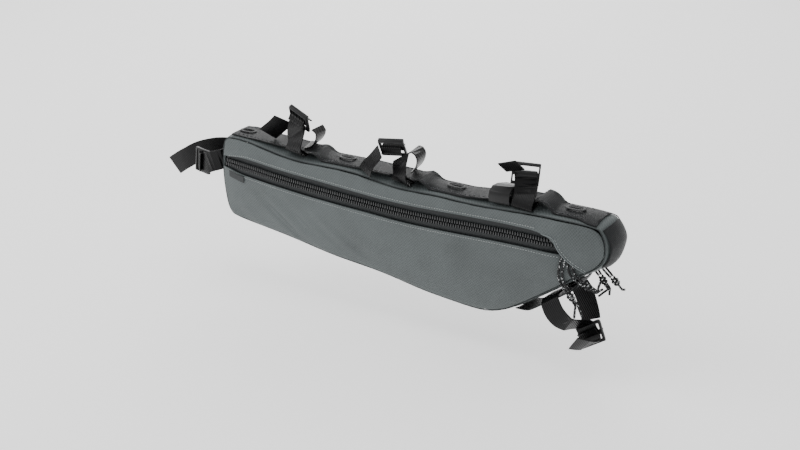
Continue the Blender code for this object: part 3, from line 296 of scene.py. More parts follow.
@dataclass
class Finishes:
    """Makes each material once from its Weave."""

    BROAD_SCALE = 22.0
    FLECK_SCALE = 430.0
    FLECK_SIZE = 0.26
    FLECK_COLOUR = (0.62, 0.64, 0.64, 1.0)
    CONTRAST = 1.9

    made: dict[str, bpy.types.Material] = field(default_factory=dict)

    def get(self, weave: Weave) -> bpy.types.Material:
        """Return the material of a weave.

        Args:
            weave: The look.

        Returns:
            The material, made the first time it is asked for.
        """
        if weave.name not in self.made:
            self.made[weave.name] = self.build(weave)
        return self.made[weave.name]

    def build(self, weave: Weave) -> bpy.types.Material:
        """Build the node graph of a weave.

        Args:
            weave: The look.

        Returns:
            The new material.
        """
        graph = Graph(weave.name)
        shader = graph.shader
        place = graph.node("ShaderNodeTexCoord").outputs["Object"]
        axes = graph.node("ShaderNodeSeparateXYZ", {0: place})
        x, y, z = (Value(graph, axes.outputs[k]) for k in range(3))
        fine = graph.node("ShaderNodeTexNoise", {"Vector": place, "Scale": weave.grain, "Detail": 2.0})
        broad = graph.node("ShaderNodeTexNoise", {"Vector": place, "Scale": self.BROAD_SCALE, "Detail": 3.0})
        tone = Value(graph, fine.outputs[0]) * 0.45 + Value(graph, broad.outputs[0]) * 0.55
        height = Value(graph, fine.outputs[0]) * 0.6
        if weave.pitch:
            turn = 2.0 * math.pi / weave.pitch
            rising = ((x + y * 0.8 + z) * turn).sine()
            falling = ((x + y * 0.8 - z) * turn).sine()
            grid = rising.math("MAXIMUM", falling)
            lines = grid.math("MAXIMUM", 0.0).math("POWER", 4.0)
            tone = tone + lines * 0.30
            height = height + lines * 0.5
        if weave.rib:
            turn = 2.0 * math.pi / weave.rib
            ribs = ((x * 0.7 + y * 0.5 + z * 0.5) * turn).sine()
            height = height + ribs * 0.35
            tone = tone + ribs * 0.08
        factor = (tone - 0.5) * self.CONTRAST + 0.5
        # Painted shade: the colour darkens towards the low nose, where the panel curves down away from the
        # light.
        if weave.painted_shade:
            low = (x * 1.6 - z * 1.2).math("MAXIMUM", 0.0)
            factor = factor - low * weave.painted_shade
        colour = graph.blend(factor, (*weave.base, 1.0), (*weave.second, 1.0))
        if weave.flecks:
            scale = {"Vector": place, "Scale": self.FLECK_SCALE}
            dots = graph.node("ShaderNodeTexVoronoi", scale, feature="F1")
            fleck = Value(graph, dots.outputs["Distance"]).math("LESS_THAN", self.FLECK_SIZE)
            colour = graph.blend(fleck * weave.flecks, colour, self.FLECK_COLOUR)
        graph.fill(shader.inputs["Base Color"], colour)
        rough = Value(graph, broad.outputs[0]) * (2.0 * weave.spread) + (weave.roughness - weave.spread)
        graph.fill(shader.inputs["Roughness"], rough)
        shader.inputs["Metallic"].default_value = weave.metallic
        shader.inputs["Sheen Weight"].default_value = weave.sheen
        shader.inputs["Specular IOR Level"].default_value = weave.shine
        bump = graph.node("ShaderNodeBump", {"Height": height, "Distance": weave.bump, "Strength": 1.0})
        graph.fill(shader.inputs["Normal"], bump.outputs["Normal"])
        return graph.material


class Surface:
    """A mesh that pieces are laid on along Y."""

    def __init__(self, obj: bpy.types.Object) -> None:
        """Index the mesh of an object.

        Args:
            obj: A mesh object at the origin.
        """
        shape = bmesh.new()
        shape.from_mesh(obj.data)
        self.tree = BVHTree.FromBMesh(shape)
        shape.free()

    def at(self, x: float, z: float, side: int) -> tuple[Vector, Vector] | None:
        """Find the outer face at a place of the side view.

        Args:
            x: Place along the bag.
            z: Height.
            side: Sign of Y of the face that is looked at.

        Returns:
            The point and its outward normal, or None where the ray misses.
        """
        hit = self.tree.ray_cast(Vector((x, side * 0.2, z)), Vector((0.0, -side, 0.0)))
        if hit[0] is None or hit[0].y * side < 0.010:
            return None
        normal = hit[1] if hit[1].y * side > 0 else -hit[1]
        return hit[0], normal


class Repeater:
    """Sets one template at every point of a cloud with Geometry Nodes, then bakes the result."""

    TURN = "turn"
    KINDS = ("NodeGroupInput", "GeometryNodeObjectInfo", "GeometryNodeInputNamedAttribute",
             "FunctionNodeEulerToRotation", "GeometryNodeInstanceOnPoints", "GeometryNodeRealizeInstances",
             "GeometryNodeSetMaterial", "NodeGroupOutput")

    def __init__(self) -> None:
        """Build the node group with its inputs."""
        group = bpy.data.node_groups.new("repeat_on_points", "GeometryNodeTree")
        sockets = group.interface
        sockets.new_socket("Geometry", in_out="INPUT", socket_type="NodeSocketGeometry")
        self.template = sockets.new_socket("Template", in_out="INPUT", socket_type="NodeSocketObject")
        self.finish = sockets.new_socket("Finish", in_out="INPUT", socket_type="NodeSocketMaterial")
        sockets.new_socket("Geometry", in_out="OUTPUT", socket_type="NodeSocketGeometry")
        start, info, turn, euler, each, real, paint, end = (group.nodes.new(kind) for kind in self.KINDS)
        turn.data_type = "FLOAT_VECTOR"
        turn.inputs["Name"].default_value = self.TURN
        for source, out, goal, into in (
            (start, "Template", info, "Object"),
            (turn, "Attribute", euler, 0),
            (start, "Geometry", each, "Points"),
            (info, "Geometry", each, "Instance"),
            (euler, 0, each, "Rotation"),
            (each, "Instances", real, "Geometry"),
            (real, "Geometry", paint, "Geometry"),
            (start, "Finish", paint, "Material"),
            (paint, "Geometry", end, "Geometry"),
        ):
            group.links.new(source.outputs[out], goal.inputs[into])
        self.group = group

    def bake(self, name: str, places: Sequence[tuple[Vector, Matrix]], template: bpy.types.Mesh,
             material: bpy.types.Material) -> bpy.types.Object:
        """Make one mesh object of the template at every place.

        Args:
            name: Name of the new object.
            places: Points and rotations.
            template: The mesh to repeat.
            material: Its finish.

        Returns:
            The baked object, at the origin and unscaled.
        """
        cloud = bpy.data.meshes.new(name + "_points")
        cloud.from_pydata([tuple(p) for p, _ in places], [], [])
        turns = cloud.attributes.new(self.TURN, "FLOAT_VECTOR", "POINT")
        for k, (_, rotation) in enumerate(places):
            turns.data[k].vector = rotation.to_euler()
        holder = link(name + "_holder", cloud)
        pattern = link(name + "_pattern", template)
        modifier = holder.modifiers.new("repeat", "NODES")
        modifier.node_group = self.group
        modifier[self.template.identifier] = pattern
        modifier[self.finish.identifier] = material
        mesh = baked_mesh(holder)
        holder.modifiers.remove(modifier)
        for item in (holder, pattern):
            bpy.data.objects.remove(item, do_unlink=True)
        return link_mesh(name, mesh)


def link(name: str, data: bpy.types.ID) -> bpy.types.Object:
    """Make an object of some data and put it in the scene.

    Args:
        name: Name of the object.
        data: A mesh, curve, camera or light.

    Returns:
        The new object.
    """
    obj = bpy.data.objects.new(name, data)
    bpy.context.scene.collection.objects.link(obj)
    return obj


def link_mesh(name: str, mesh: bpy.types.Mesh,
              material: bpy.types.Material | None = None) -> bpy.types.Object:
    """Make a smooth object of a mesh.

    Args:
        name: Name of the object and the mesh.
        mesh: Its mesh.
        material: Its finish, where the mesh hasn't one yet.

    Returns:
        The new object.
    """
    mesh.name = name
    mesh.shade_smooth()
    if material:
        mesh.materials.clear()
        mesh.materials.append(material)
    return link(name, mesh)


def baked_mesh(obj: bpy.types.Object) -> bpy.types.Mesh:
    """Evaluate an object with its modifiers.

    Args:
        obj: The object.

    Returns:
        Its final shape as a new mesh.
    """
    bpy.context.view_layer.update()
    deps = bpy.context.evaluated_depsgraph_get()
    return bpy.data.meshes.new_from_object(obj.evaluated_get(deps), depsgraph=deps)


def tube(name: str, lines: Sequence[Sequence[Vector]], radius: float,
         material: bpy.types.Material) -> bpy.types.Object:
    """Round tubes along lines, as one curve object.

    Args:
        name: Name of the object.
        lines: Close points of each tube's middle.
        radius: Half the thickness.
        material: Their finish.

    Returns:
        The curve object.
    """
    data = bpy.data.curves.new(name, "CURVE")
    data.dimensions = "3D"
    data.bevel_depth = radius
    data.bevel_resolution = 3
    data.use_fill_caps = True
    for line in lines:
        run = data.splines.new("POLY")
        run.points.add(len(line) - 1)
        for point, place in zip(run.points, line):
            point.co = (*place, 1.0)
    data.materials.append(material)
    return link(name, data)


def tube_mesh(name: str, lines: Sequence[Sequence[Vector]], radius: float,
              material: bpy.types.Material) -> bpy.types.Object:
    """Round tubes along lines, as one mesh object.

    Args:
        name: Name of the object.
        lines: Close points of each tube's middle.
        radius: Half the thickness.
        material: Their finish.

    Returns:
        The mesh object.
    """
    rough = tube(name + "_rough", lines, radius, material)
    mesh = baked_mesh(rough)
    bpy.data.objects.remove(rough, do_unlink=True)
    return link_mesh(name, mesh, material)


def loft_mesh(name: str, sections: Sequence[Sequence[Sequence[float]]]) -> bpy.types.Mesh:
    """Closed skin through sections of equally many points.

    Args:
        name: Name of the mesh.
        sections: Points of each section, in the same order round it.

    Returns:
        The new mesh.
    """
    shape = bmesh.new()
    rings = [[shape.verts.new(place) for place in section] for section in sections]
    for a, b in zip(rings, rings[1:]):
        for j in range(len(a)):
            k = (j + 1) % len(a)
            shape.faces.new((a[j], a[k], b[k], b[j]))
    shape.faces.new(rings[0])
    shape.faces.new(rings[-1])
    bmesh.ops.recalc_face_normals(shape, faces=shape.faces)
    mesh = bpy.data.meshes.new(name)
    shape.to_mesh(mesh)
    shape.free()
    return mesh


def soft_step(value: float, low: float, high: float) -> float:
    """Smooth rise from 0 at low to 1 at high.

    Args:
        value: Where to read the step.
        low: Start of the rise.
        high: End of the rise.

    Returns:
        A share from 0 to 1.
    """
    f = min(max((value - low) / (high - low), 0.0), 1.0)
    return f * f * (3.0 - 2.0 * f)


def spline(points: Sequence[Sequence[float]], count: int) -> list[Vector]:
    """Catmull-Rom curve through points.

    Args:
        points: The points it passes through.
        count: How many points to return.

    Returns:
        Points evenly spaced in the curve's parameter.
    """
    keys = [Vector(p) for p in points]
    last = len(keys) - 1
    out = []
    for k in range(count):
        t = last * k / (count - 1)
        i = min(int(t), last - 1)
        f = t - i
        a, b, c, d = keys[max(i - 1, 0)], keys[i], keys[i + 1], keys[min(i + 2, last)]
        out.append(0.5 * (2 * b + (c - a) * f + (2 * a - 5 * b + 4 * c - d) * f * f
                          + (3 * b - a - 3 * c + d) * f ** 3))
    return out


@dataclass(frozen=True)
class Refinement:
    """How a CAD node's mesh is refined into a finished piece."""

    levels: int
    crease_angle: float = 32.0
    bevel: float = 0.0


@dataclass
class Dresser:
    """Replaces CAD nodes with finished pieces."""

    nodes: dict[str, bpy.types.Object]
    finishes: Finishes
    pieces: dict[str, bpy.types.Object] = field(default_factory=dict)

    def clean_copy(self, node: str, crease_angle: float) -> bpy.types.Mesh:
        """Copy a CAD mesh in the row frame, with quads and creased corners.

        Args:
            node: Name of the CAD node.
            crease_angle: Edges that bend more than this many degrees stay sharp.

        Returns:
            A new mesh.
        """
        source = self.nodes[node]
        mesh = source.data.copy()
        mesh.transform(source.matrix_world)
        shape = bmesh.new()
        shape.from_mesh(mesh)
        bmesh.ops.remove_doubles(shape, verts=shape.verts, dist=1e-6)
        bmesh.ops.recalc_face_normals(shape, faces=shape.faces)
        bmesh.ops.join_triangles(shape, faces=shape.faces, angle_face_threshold=math.radians(14),
                                 angle_shape_threshold=math.radians(60))
        crease = shape.edges.layers.float.new("crease_edge")
        for edge in shape.edges:
            if len(edge.link_faces) == 2 and edge.calc_face_angle(0.0) > math.radians(crease_angle):
                edge[crease] = 1.0
        shape.to_mesh(mesh)
        shape.free()
        return mesh

    def refine(self, node: str, weave: Weave, how: Refinement,
               move: Callable[[Vector, Vector], Vector] | None = None) -> bpy.types.Object:
        """Make the finished piece of a CAD node and hide the node.

        Args:
            node: Name of the CAD node.
            weave: Its look.
            how: How the mesh is refined.
            move: Gives the shift of a vertex from its place and normal.

        Returns:
            The finished piece.
        """
        obj = link_mesh(node + "_piece", self.clean_copy(node, how.crease_angle))
        if how.bevel:
            bevel = obj.modifiers.new("edges", "BEVEL")
            bevel.width = how.bevel
            bevel.segments = 2
            bevel.limit_method = "ANGLE"
            bevel.angle_limit = math.radians(30)
        if how.levels:
            smooth = obj.modifiers.new("smooth", "SUBSURF")
            smooth.levels = how.levels
            smooth.render_levels = how.levels
        baked = baked_mesh(obj)
        obj.modifiers.clear()
        obj.data = baked
        if move:
            normals = [v.normal.copy() for v in baked.vertices]
            for vertex, normal in zip(baked.vertices, normals):
                vertex.co += move(vertex.co, normal)
        baked.shade_smooth()
        baked.set_sharp_from_angle(angle=math.radians(40))
        baked.materials.clear()
        baked.materials.append(self.finishes.get(weave))
        self.adopt(obj, (node,))
        return obj

    def adopt(self, obj: bpy.types.Object, nodes: Iterable[str] = ()) -> None:
        """Let a piece ride on the bag and stand for CAD nodes.

        Args:
            obj: The piece.
            nodes: The nodes that it stands for.
        """
        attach(obj, "root")
        names = tuple(nodes)
        if names:
            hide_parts(*names)
        for name in names:
            self.pieces[name] = obj


FOLDS = (
    ((-0.158, -0.088), -38.0, 0.036, 0.0050, 0.0013),
    ((-0.128, -0.084), -36.0, 0.042, 0.0060, 0.0011),
    ((-0.092, -0.092), -32.0, 0.040, 0.0065, 0.0012),
    ((-0.060, -0.094), -30.0, 0.034, 0.0070, 0.0008),
    ((0.120, -0.096), 24.0, 0.034, 0.0075, 0.0008),
)


def fold_depth(x: float, z: float) -> float:
    """Depth of the soft diagonal creases of the large panel.

    Args:
        x: Place along the bag.
        z: Height.

    Returns:
        How far the cloth goes in.
    """
    total = 0.0
    for (fx, fz), degrees, half_length, half_width, depth in FOLDS:
        a = math.radians(degrees)
        along = (x - fx) * math.cos(a) + (z - fz) * math.sin(a)
        across = (z - fz) * math.cos(a) - (x - fx) * math.sin(a)
        total += depth * math.exp(-(along / half_length) ** 2 - (across / half_width) ** 2)
        total -= 0.5 * depth * math.exp(-(along / half_length) ** 2
                                        - ((across - 1.6 * half_width) / half_width) ** 2)
    return total


def pucker(co: Vector, normal: Vector) -> Vector:
    """Ripples of the cloth near its seams and slow waves over the face.

    Args:
        co: Place of the vertex.
        normal: Its normal.

    Returns:
        The vertex's shift.
    """
    reach = abs(co.y)
    seam = 1.0 - soft_step(reach, 0.0228, 0.0275)
    ripple = noise.noise(Vector((co.x * 95.0, 3.0 * math.copysign(1.0, co.y), co.z * 60.0)))
    slow = noise.noise(Vector((co.x * 16.0 + co.z * 9.0, 7.7, co.z * 20.0 - co.x * 7.0)))
    crease_line = math.sin((co.x * 0.75 + co.z * 1.1) * 190.0 + 3.0 * slow)
    low_rear = soft_step(-co.x, -0.05, 0.16) * soft_step(-co.z, 0.060, 0.095)
    amount = 0.00042 * seam * ripple + 0.00085 * (1.0 - seam) * slow + 0.00030 * low_rear * crease_line
    hem = soft_step(reach, 0.0225, 0.0245)
    return normal * (amount - hem * fold_depth(co.x, co.z))


def band_pucker(co: Vector, normal: Vector) -> Vector:
    """Small ripples of the gusset beside its seams.

    Args:
        co: Place of the vertex.
        normal: Its normal.

    Returns:
        The vertex's shift.
    """
    edge = soft_step(abs(co.y), 0.010, 0.019)
    ripple = noise.noise(Vector((co.x * 80.0, co.z * 80.0, co.y * 30.0)))
    return normal * (0.00022 * edge * ripple)


def soft_wave(co: Vector, normal: Vector) -> Vector:
    """Slight unevenness of a sewn strip or of webbing.

    Args:
        co: Place of the vertex.
        normal: Its normal.

    Returns:
        The vertex's shift.
    """
    return normal * 0.00012 * noise.noise(co * 60.0)


class ZipLine:
    """The zip's middle line as the CAD chain gives it."""

    def __init__(self, node: bpy.types.Object) -> None:
        """Read the places of the chain's sections.

        Args:
            node: The CAD chain.
        """
        rows: dict[int, list[Vector]] = {}
        for vertex in node.data.vertices:
            p = node.matrix_world @ vertex.co
            rows.setdefault(round(p.x * 1e5), []).append(p)
        self.points = []
        for key in sorted(rows):
            group = rows[key]
            out = min(abs(p.y) for p in group)
            self.points.append((key * 1e-5, out, sum(p.z for p in group) / len(group)))

    def at(self, x: float) -> Spot:
        """Depth of the chain's back and height of its middle at x.

        Args:
            x: Place along the bag.

        Returns:
            Distance from the middle plane, and height.
        """
        points = self.points
        if x <= points[0][0]:
            return points[0][1], points[0][2]
        for a, b in zip(points, points[1:]):
            if x <= b[0]:
                f = (x - a[0]) / max(b[0] - a[0], 1e-9)
                return a[1] + (b[1] - a[1]) * f, a[2] + (b[2] - a[2]) * f
        return points[-1][1], points[-1][2]

    @property
    def span(self) -> Spot:
        """First and last place of the chain."""
        return self.points[0][0], self.points[-1][0]


TOOTH_PITCH = 0.0031
TOOTH_LONG = 0.0040
TOOTH_SHARE = 0.66
TOOTH_OFFSET = 0.0025
TOOTH_SEAT = 0.0001
CHAIN_START = 0.0008
CHAIN_END = 0.001
CHAIN_THICK = 0.0024
STITCH_PITCH = 0.0032
STITCH_LONG = STITCH_PITCH * 0.72
STITCH_RADIUS = 0.00030
STITCH_SEAT = 0.00016
ZIP_OPENING = 0.0215
FLAP_EDGE = ((0.1800, -0.0215), (0.1940, -0.0228), (0.2016, -0.0335), (0.2142, -0.0449), (0.2308, -0.0543))


def tooth_mesh() -> bpy.types.Mesh:
    """One moulded zip tooth: a rounded block with a narrower head.

    Returns:
        The template mesh. It points along +Z with its back at Y 0 and its front at -Y.
    """
    sections = []
    t = CHAIN_THICK
    for share, wide in ((-0.5, 0.42), (-0.15, 0.46), (0.20, 0.34), (0.50, 0.44)):
        w = wide * TOOTH_PITCH * TOOTH_SHARE
        ring = ((-w, 0.0), (w, 0.0), (w, -0.72 * t), (0.55 * w, -t), (-0.55 * w, -t), (-w, -0.72 * t))
        sections.append([(px, py, share * TOOTH_LONG) for px, py in ring])
    return loft_mesh("tooth", sections)


def stitch_mesh() -> bpy.types.Mesh:
    """One stitch along X: a short thread that dips at both ends.

    Returns:
        The template mesh.
    """
    r = STITCH_RADIUS
    sections = []
    for share, wide, rise in ((-0.5, 0.35, -0.6), (-0.25, 1.0, 0.2), (0.25, 1.0, 0.2), (0.5, 0.35, -0.6)):
        angles = [math.pi * k / 3 for k in range(6)]
        sections.append([(share * STITCH_LONG, wide * r * math.cos(a), r * (rise + wide * math.sin(a)))
                         for a in angles])
    return loft_mesh("stitch", sections)


def frame_of(along: Vector, out: Vector) -> Matrix:
    """Rotation with X along a line and Z out of the surface.

    Args:
        along: Direction of the line.
        out: Outward normal.

    Returns:
        A 3 by 3 rotation.
    """
    x = along.normalized()
    z = (out - x * out.dot(x)).normalized()
    y = z.cross(x)
    return Matrix((x, y, z)).transposed()


@dataclass
class Sewing:
    """Lays rows of stitches and teeth on the bag."""

    dresser: Dresser
    repeater: Repeater
    stitch: bpy.types.Mesh = field(default_factory=stitch_mesh)

    def row(self, name: str, path: Sequence[Vector], outs: Sequence[Vector], weave: Weave) -> None:
        """Sew stitches along a path.

        Args:
            name: Name of the piece.
            path: Close points on the surface.
            outs: Outward normals at the points.
            weave: The thread's look.
        """
        places = []
        run = 0.0
        for k in range(1, len(path)):
            step = path[k] - path[k - 1]
            run += step.length
            if run >= STITCH_PITCH and step.length > 1e-7:
                run = 0.0
                places.append((path[k] + outs[k] * STITCH_SEAT, frame_of(step, outs[k])))
        self.dresser.adopt(self.repeater.bake(name, places, self.stitch, self.dresser.finishes.get(weave)))

    def along_face(self, name: str, surfaces: Sequence[Surface], line: Sequence[Spot],
                   side: int, weave: Weave) -> None:
        """Sew along a line of the side view, on the first surface that it meets.

        Args:
            name: Name of the piece.
            surfaces: Surfaces to lay it on.
            line: Close points as X and Z.
            side: Sign of Y.
            weave: The thread's look.
        """
        path = []
        outs = []
        for x, z in line:
            hits = [hit for hit in (s.at(x, z, side) for s in surfaces) if hit]
            if hits:
                best = max(hits, key=lambda hit: hit[0].y * side)
                path.append(best[0])
                outs.append(best[1])
        self.row(name, path, outs, weave)

    def teeth(self, label: str, side: int, line: ZipLine) -> None:
        """Two staggered rows of zip teeth in place of the CAD chain.

        Args:
            label: The face's name.
            side: Sign of Y.
            line: The zip's middle line.
        """
        first, last = line.span
        places = []
        count = int((last - first - CHAIN_END) / (TOOTH_PITCH / 2))
        for k in range(count):
            x = first + CHAIN_START + k * TOOTH_PITCH / 2
            depth, z = line.at(x)
            upper = 1 if k % 2 else -1
            turn = Matrix.Rotation(0.0 if upper > 0 else math.pi, 3, "Y")
            if side > 0:
                turn = Matrix.Rotation(math.pi, 3, "Z") @ turn
            places.append((Vector((x, side * (depth + TOOTH_SEAT), z + upper * TOOTH_OFFSET)), turn))
        piece = self.repeater.bake(label + "_teeth", places, tooth_mesh(), self.dresser.finishes.get(TOOTH))
        self.dresser.adopt(piece, (label + "_zip_chain",))


@dataclass(frozen=True)
class Pull:
    """One cord pull, along the places that its CAD solids have in metres.

    Knot and tails are given as X and Z. They lie KNOT_DEPTH from the middle plane on the loop's side.
    """

    name: str
    loop: tuple[Place, ...]
    knot: Spot
    tails: tuple[tuple[Spot, ...], ...]

    def spot(self, place: Spot) -> Vector:
        """Set a place of the knot or of a tail at its depth.

        Args:
            place: X and Z.

        Returns:
            The point.
        """
        return Vector((place[0], math.copysign(KNOT_DEPTH, self.loop[0][1]), place[1]))


KNOT_DEPTH = 0.02569
PULLS = (
    Pull("near_pull_1",
         ((0.21163, -0.02569, -0.08152), (0.2075, -0.02509, -0.077), (0.2036, -0.02897, -0.0672),
          (0.204, -0.03073, -0.0545), (0.2057, -0.02856, -0.04), (0.2072, -0.02732, -0.0318),
          (0.2092, -0.0279, -0.0415), (0.2081, -0.03028, -0.0538), (0.2076, -0.02825, -0.0667),
          (0.2106, -0.02509, -0.075), (0.21401, -0.02569, -0.07953)),
         (0.2168, -0.0853),
         (((0.21959, -0.09107), (0.22279, -0.09491), (0.22254, -0.1021), (0.2223, -0.1093)),
          ((0.22197, -0.08908), (0.22517, -0.09292), (0.22809, -0.09896), (0.231, -0.105)))),
    Pull("near_pull_2",
         ((0.2289, -0.02569, -0.06824), (0.224, -0.02509, -0.0675), (0.2165, -0.02787, -0.06),
          (0.2133, -0.02871, -0.05), (0.2126, -0.02707, -0.0412), (0.216, -0.02665, -0.0322),
          (0.2165, -0.02641, -0.043), (0.2182, -0.02748, -0.052), (0.222, -0.02667, -0.0598),
          (0.2265, -0.02509, -0.0636), (0.22977, -0.02569, -0.06526)),
         (0.2353, -0.0685),
         (((0.2417, -0.06876), (0.2465, -0.07017), (0.24805, -0.06509), (0.2496, -0.06)),
          ((0.24083, -0.07174), (0.24562, -0.07315), (0.24906, -0.07017), (0.2525, -0.0672)))),
    Pull("far_pull_1",
         ((0.225, 0.02569, -0.07972), (0.2215, 0.02509, -0.076), (0.215, 0.0258, -0.067),
          (0.2085, 0.03015, -0.0545), (0.2058, 0.02896, -0.042), (0.2072, 0.02732, -0.0318),
          (0.2098, 0.02791, -0.0425), (0.2118, 0.02961, -0.055), (0.218, 0.02563, -0.065),
          (0.2245, 0.02509, -0.0735), (0.22742, 0.02569, -0.07778)),
         (0.2301, -0.0836),
         (((0.23278, -0.08942), (0.23591, -0.09332), (0.23105, -0.09891), (0.2262, -0.1045)),
          ((0.2352, -0.08748), (0.23833, -0.09138), (0.23841, -0.09544), (0.2385, -0.0995)))),
    Pull("far_pull_2",
         ((0.23869, 0.02569, -0.0784), (0.2355, 0.02509, -0.076), (0.226, 0.02509, -0.067),
          (0.2165, 0.02846, -0.054), (0.2135, 0.02694, -0.042), (0.2165, 0.0266, -0.0322),
          (0.2165, 0.02641, -0.043), (0.2195, 0.02723, -0.053), (0.229, 0.02509, -0.0645),
          (0.2375, 0.02509, -0.0725), (0.2408, 0.02569, -0.07613)),
         (0.2443, -0.0815),
         (((0.24885, -0.08573), (0.25251, -0.08914), (0.25426, -0.08882), (0.256, -0.0885)),)),
)
CORD_DIAMETER = 0.0025


@dataclass
class Cords:
    """Makes the pull cords, their knots and the tails below the knots.

    A knot is two strands wound TURNS times round each other, and a tail starts TUCK inside it.
    """

    STEPS = 36
    TURNS = 1.35
    CORE = 0.0011
    BULGE = 0.0021
    KNOT_LONG = 0.0098
    TUCK = 0.0012
    KNOT_SHARE = 1.05
    TAIL_POINTS = 24
    LOOP_POINTS = 81

    dresser: Dresser

    def knot_lines(self, pull: Pull) -> list[list[Vector]]:
        """Turns of the knot and the tails below it.

        Args:
            pull: The pull.

        Returns:
            Close points of each tube's middle.
        """
        centre = pull.spot(pull.knot)
        start = (Vector(pull.loop[0]) + Vector(pull.loop[-1])) / 2
        way = (centre - start).normalized()
        flat = Vector((0.0, 1.0, 0.0))
        third = way.cross(flat)
        lines = []
        for twist in (0.0, math.pi):
            turns = []
            for k in range(self.STEPS + 1):
                f = k / self.STEPS
                angle = 2 * math.pi * self.TURNS * f + twist
                radius = self.CORE + self.BULGE * math.sin(math.pi * f) ** 0.7
                place = centre + way * ((f - 0.5) * self.KNOT_LONG)
                turns.append(place + third * radius * math.cos(angle) + flat * 0.8 * radius * math.sin(angle))
            lines.append(turns)
        for tail in pull.tails:
            points = [pull.spot(place) for place in tail]
            lines.append(spline([points[0] - way * self.TUCK, *points], self.TAIL_POINTS))
        return lines

    def build(self, pull: Pull) -> None:
        """Make one pull.

        Args:
            pull: The pull.
        """
        path = spline(pull.loop, self.LOOP_POINTS)
        length = sum((b - a).length for a, b in zip(path, path[1:]))
        finish = self.dresser.finishes.get(CORD)
        loop = tube(pull.name + "_loop", [path], CORD_DIAMETER / 2, finish)
        self.dresser.adopt(loop, (pull.name + "_cord",))
        knot = tube_mesh(pull.name + "_knot_piece", self.knot_lines(pull),
                         CORD_DIAMETER / 2 * self.KNOT_SHARE, finish)
        names = [pull.name + "_knot"] + [f"{pull.name}_tail_{k + 1}" for k in range(len(pull.tails))]
        self.dresser.adopt(knot, names)


def aim(obj: bpy.types.Object, target: Vector, roll: float = 0.0) -> None:
    """Turn a camera or lamp to look at a point.

    Args:
        obj: The object.
        target: The point.
        roll: Turn round its own view, in degrees.
    """
    way = (target - obj.location).normalized()
    turn = way.to_track_quat("-Z", "Y").to_matrix().to_4x4()
    obj.rotation_euler = (turn @ Matrix.Rotation(math.radians(roll), 4, "Z")).to_euler()


@dataclass
class Studio:
    """Camera, soft boxes, floor and world."""

    WHITE = (1.0, 1.0, 1.0, 1.0)
    PALE = (0.92, 0.92, 0.92, 1.0)
    LIT = Vector((0.0, 0.0, -0.05))
    SKY_STRENGTH = 0.86
    FLOOR_GLOW = 0.5
    FLOOR_HALF = 12.0

    pose: CameraPose

    def camera(self) -> None:
        """Set the camera at the photograph's angle."""
        a = math.radians(self.pose.azimuth)
        e = math.radians(self.pose.elevation)
        back = Vector((math.sin(a) * math.cos(e), -math.cos(a) * math.cos(e), math.sin(e)))
        data = bpy.data.cameras.new("camera")
        data.sensor_width = 36.0
        data.lens = self.pose.lens
        data.clip_start = 0.05
        obj = link("camera", data)
        target = Vector(self.pose.target)
        obj.location = target + back * self.pose.distance
        aim(obj, target, self.pose.roll)
        bpy.context.scene.camera = obj

    def lights(self) -> None:
        """Hang the soft boxes and light the world."""
        for lamp in LAMPS:
            data = bpy.data.lights.new(lamp.name, "AREA")
            data.shape = "RECTANGLE"
            data.size = lamp.width
            data.size_y = lamp.height
            data.energy = lamp.power
            obj = link(lamp.name, data)
            obj.location = lamp.place
            aim(obj, self.LIT)
        world = bpy.data.worlds.new("studio")
        world.use_nodes = True
        sky = world.node_tree.nodes["Background"]
        sky.inputs["Color"].default_value = self.WHITE
        sky.inputs["Strength"].default_value = self.SKY_STRENGTH
        bpy.context.scene.world = world

    def floor(self, height: float) -> None:
        """Lay a wide pale floor under the bag.

        Args:
            height: Height of the floor.
        """
        mesh = bpy.data.meshes.new("floor")
        s = self.FLOOR_HALF
        corners = [(-s, -s, height), (s, -s, height), (s, s, height), (-s, s, height)]
        mesh.from_pydata(corners, [], [(0, 1, 2, 3)])
        graph = Graph("pale_floor")
        for key, value in (("Base Color", self.PALE), ("Roughness", 0.9), ("Emission Color", self.WHITE),
                           ("Emission Strength", self.FLOOR_GLOW)):
            graph.shader.inputs[key].default_value = value
        mesh.materials.append(graph.material)
        link("floor", mesh)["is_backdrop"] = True


@dataclass(frozen=True)
class Dress:
    """How the nodes whose name holds a word are finished."""

    word: str
    slot: str
    weave: Weave
    how: Refinement
    move: Callable[[Vector, Vector], Vector] | None = None


WHOLE = 180.0
WEB = Refinement(2, WHOLE, 0.00035)
MOULDED = Refinement(0, bevel=0.0006)
DRESSES = (
    Dress("_lower_panel", "grey_cloth", CLOTH, Refinement(2), pucker),
    Dress("_upper_panel", "grey_cloth", CLOTH, Refinement(2), pucker),
    Dress("gusset_band", "grey_cloth", BAND_CLOTH, Refinement(2), band_pucker),
    Dress("_piping", "dark_tape", PIPING, Refinement(1, WHOLE)),
    Dress("_zip_tape", "dark_tape", TAPE, Refinement(2)),
    Dress("_slider_", "slider_metal", METAL, Refinement(0, bevel=0.0005)),
    Dress("slot_ring_", "ring_rubber", RUBBER, Refinement(1, WHOLE)),
    Dress("rear_tag", "black_strip", TAPE, Refinement(1, bevel=0.0001)),
    *(Dress(word, "black_strip", STRIP, Refinement(2), soft_wave)
      for word in ("top_strip", "nose_patch", "slant_strip", "rear_patch")),
    *(Dress(word, "buckle_plastic", PLASTIC, MOULDED) for word in ("_buckle", "_ring")),
    *(Dress(word, "webbing", WEBBING, WEB, soft_wave)
      for word in ("_leg", "_cross", "_tail", "_strap_near", "_strap_far")),
)


def dress_for(node: str) -> Dress | None:
    """Find how a node is finished.

    Args:
        node: Name of the node.

    Returns:
        The first dress whose word is in the name, or None where something else replaces the node.
    """
    if "_pull_" in node or node.endswith("_zip_chain"):
        return None
    return next(dress for dress in DRESSES if dress.word in node)


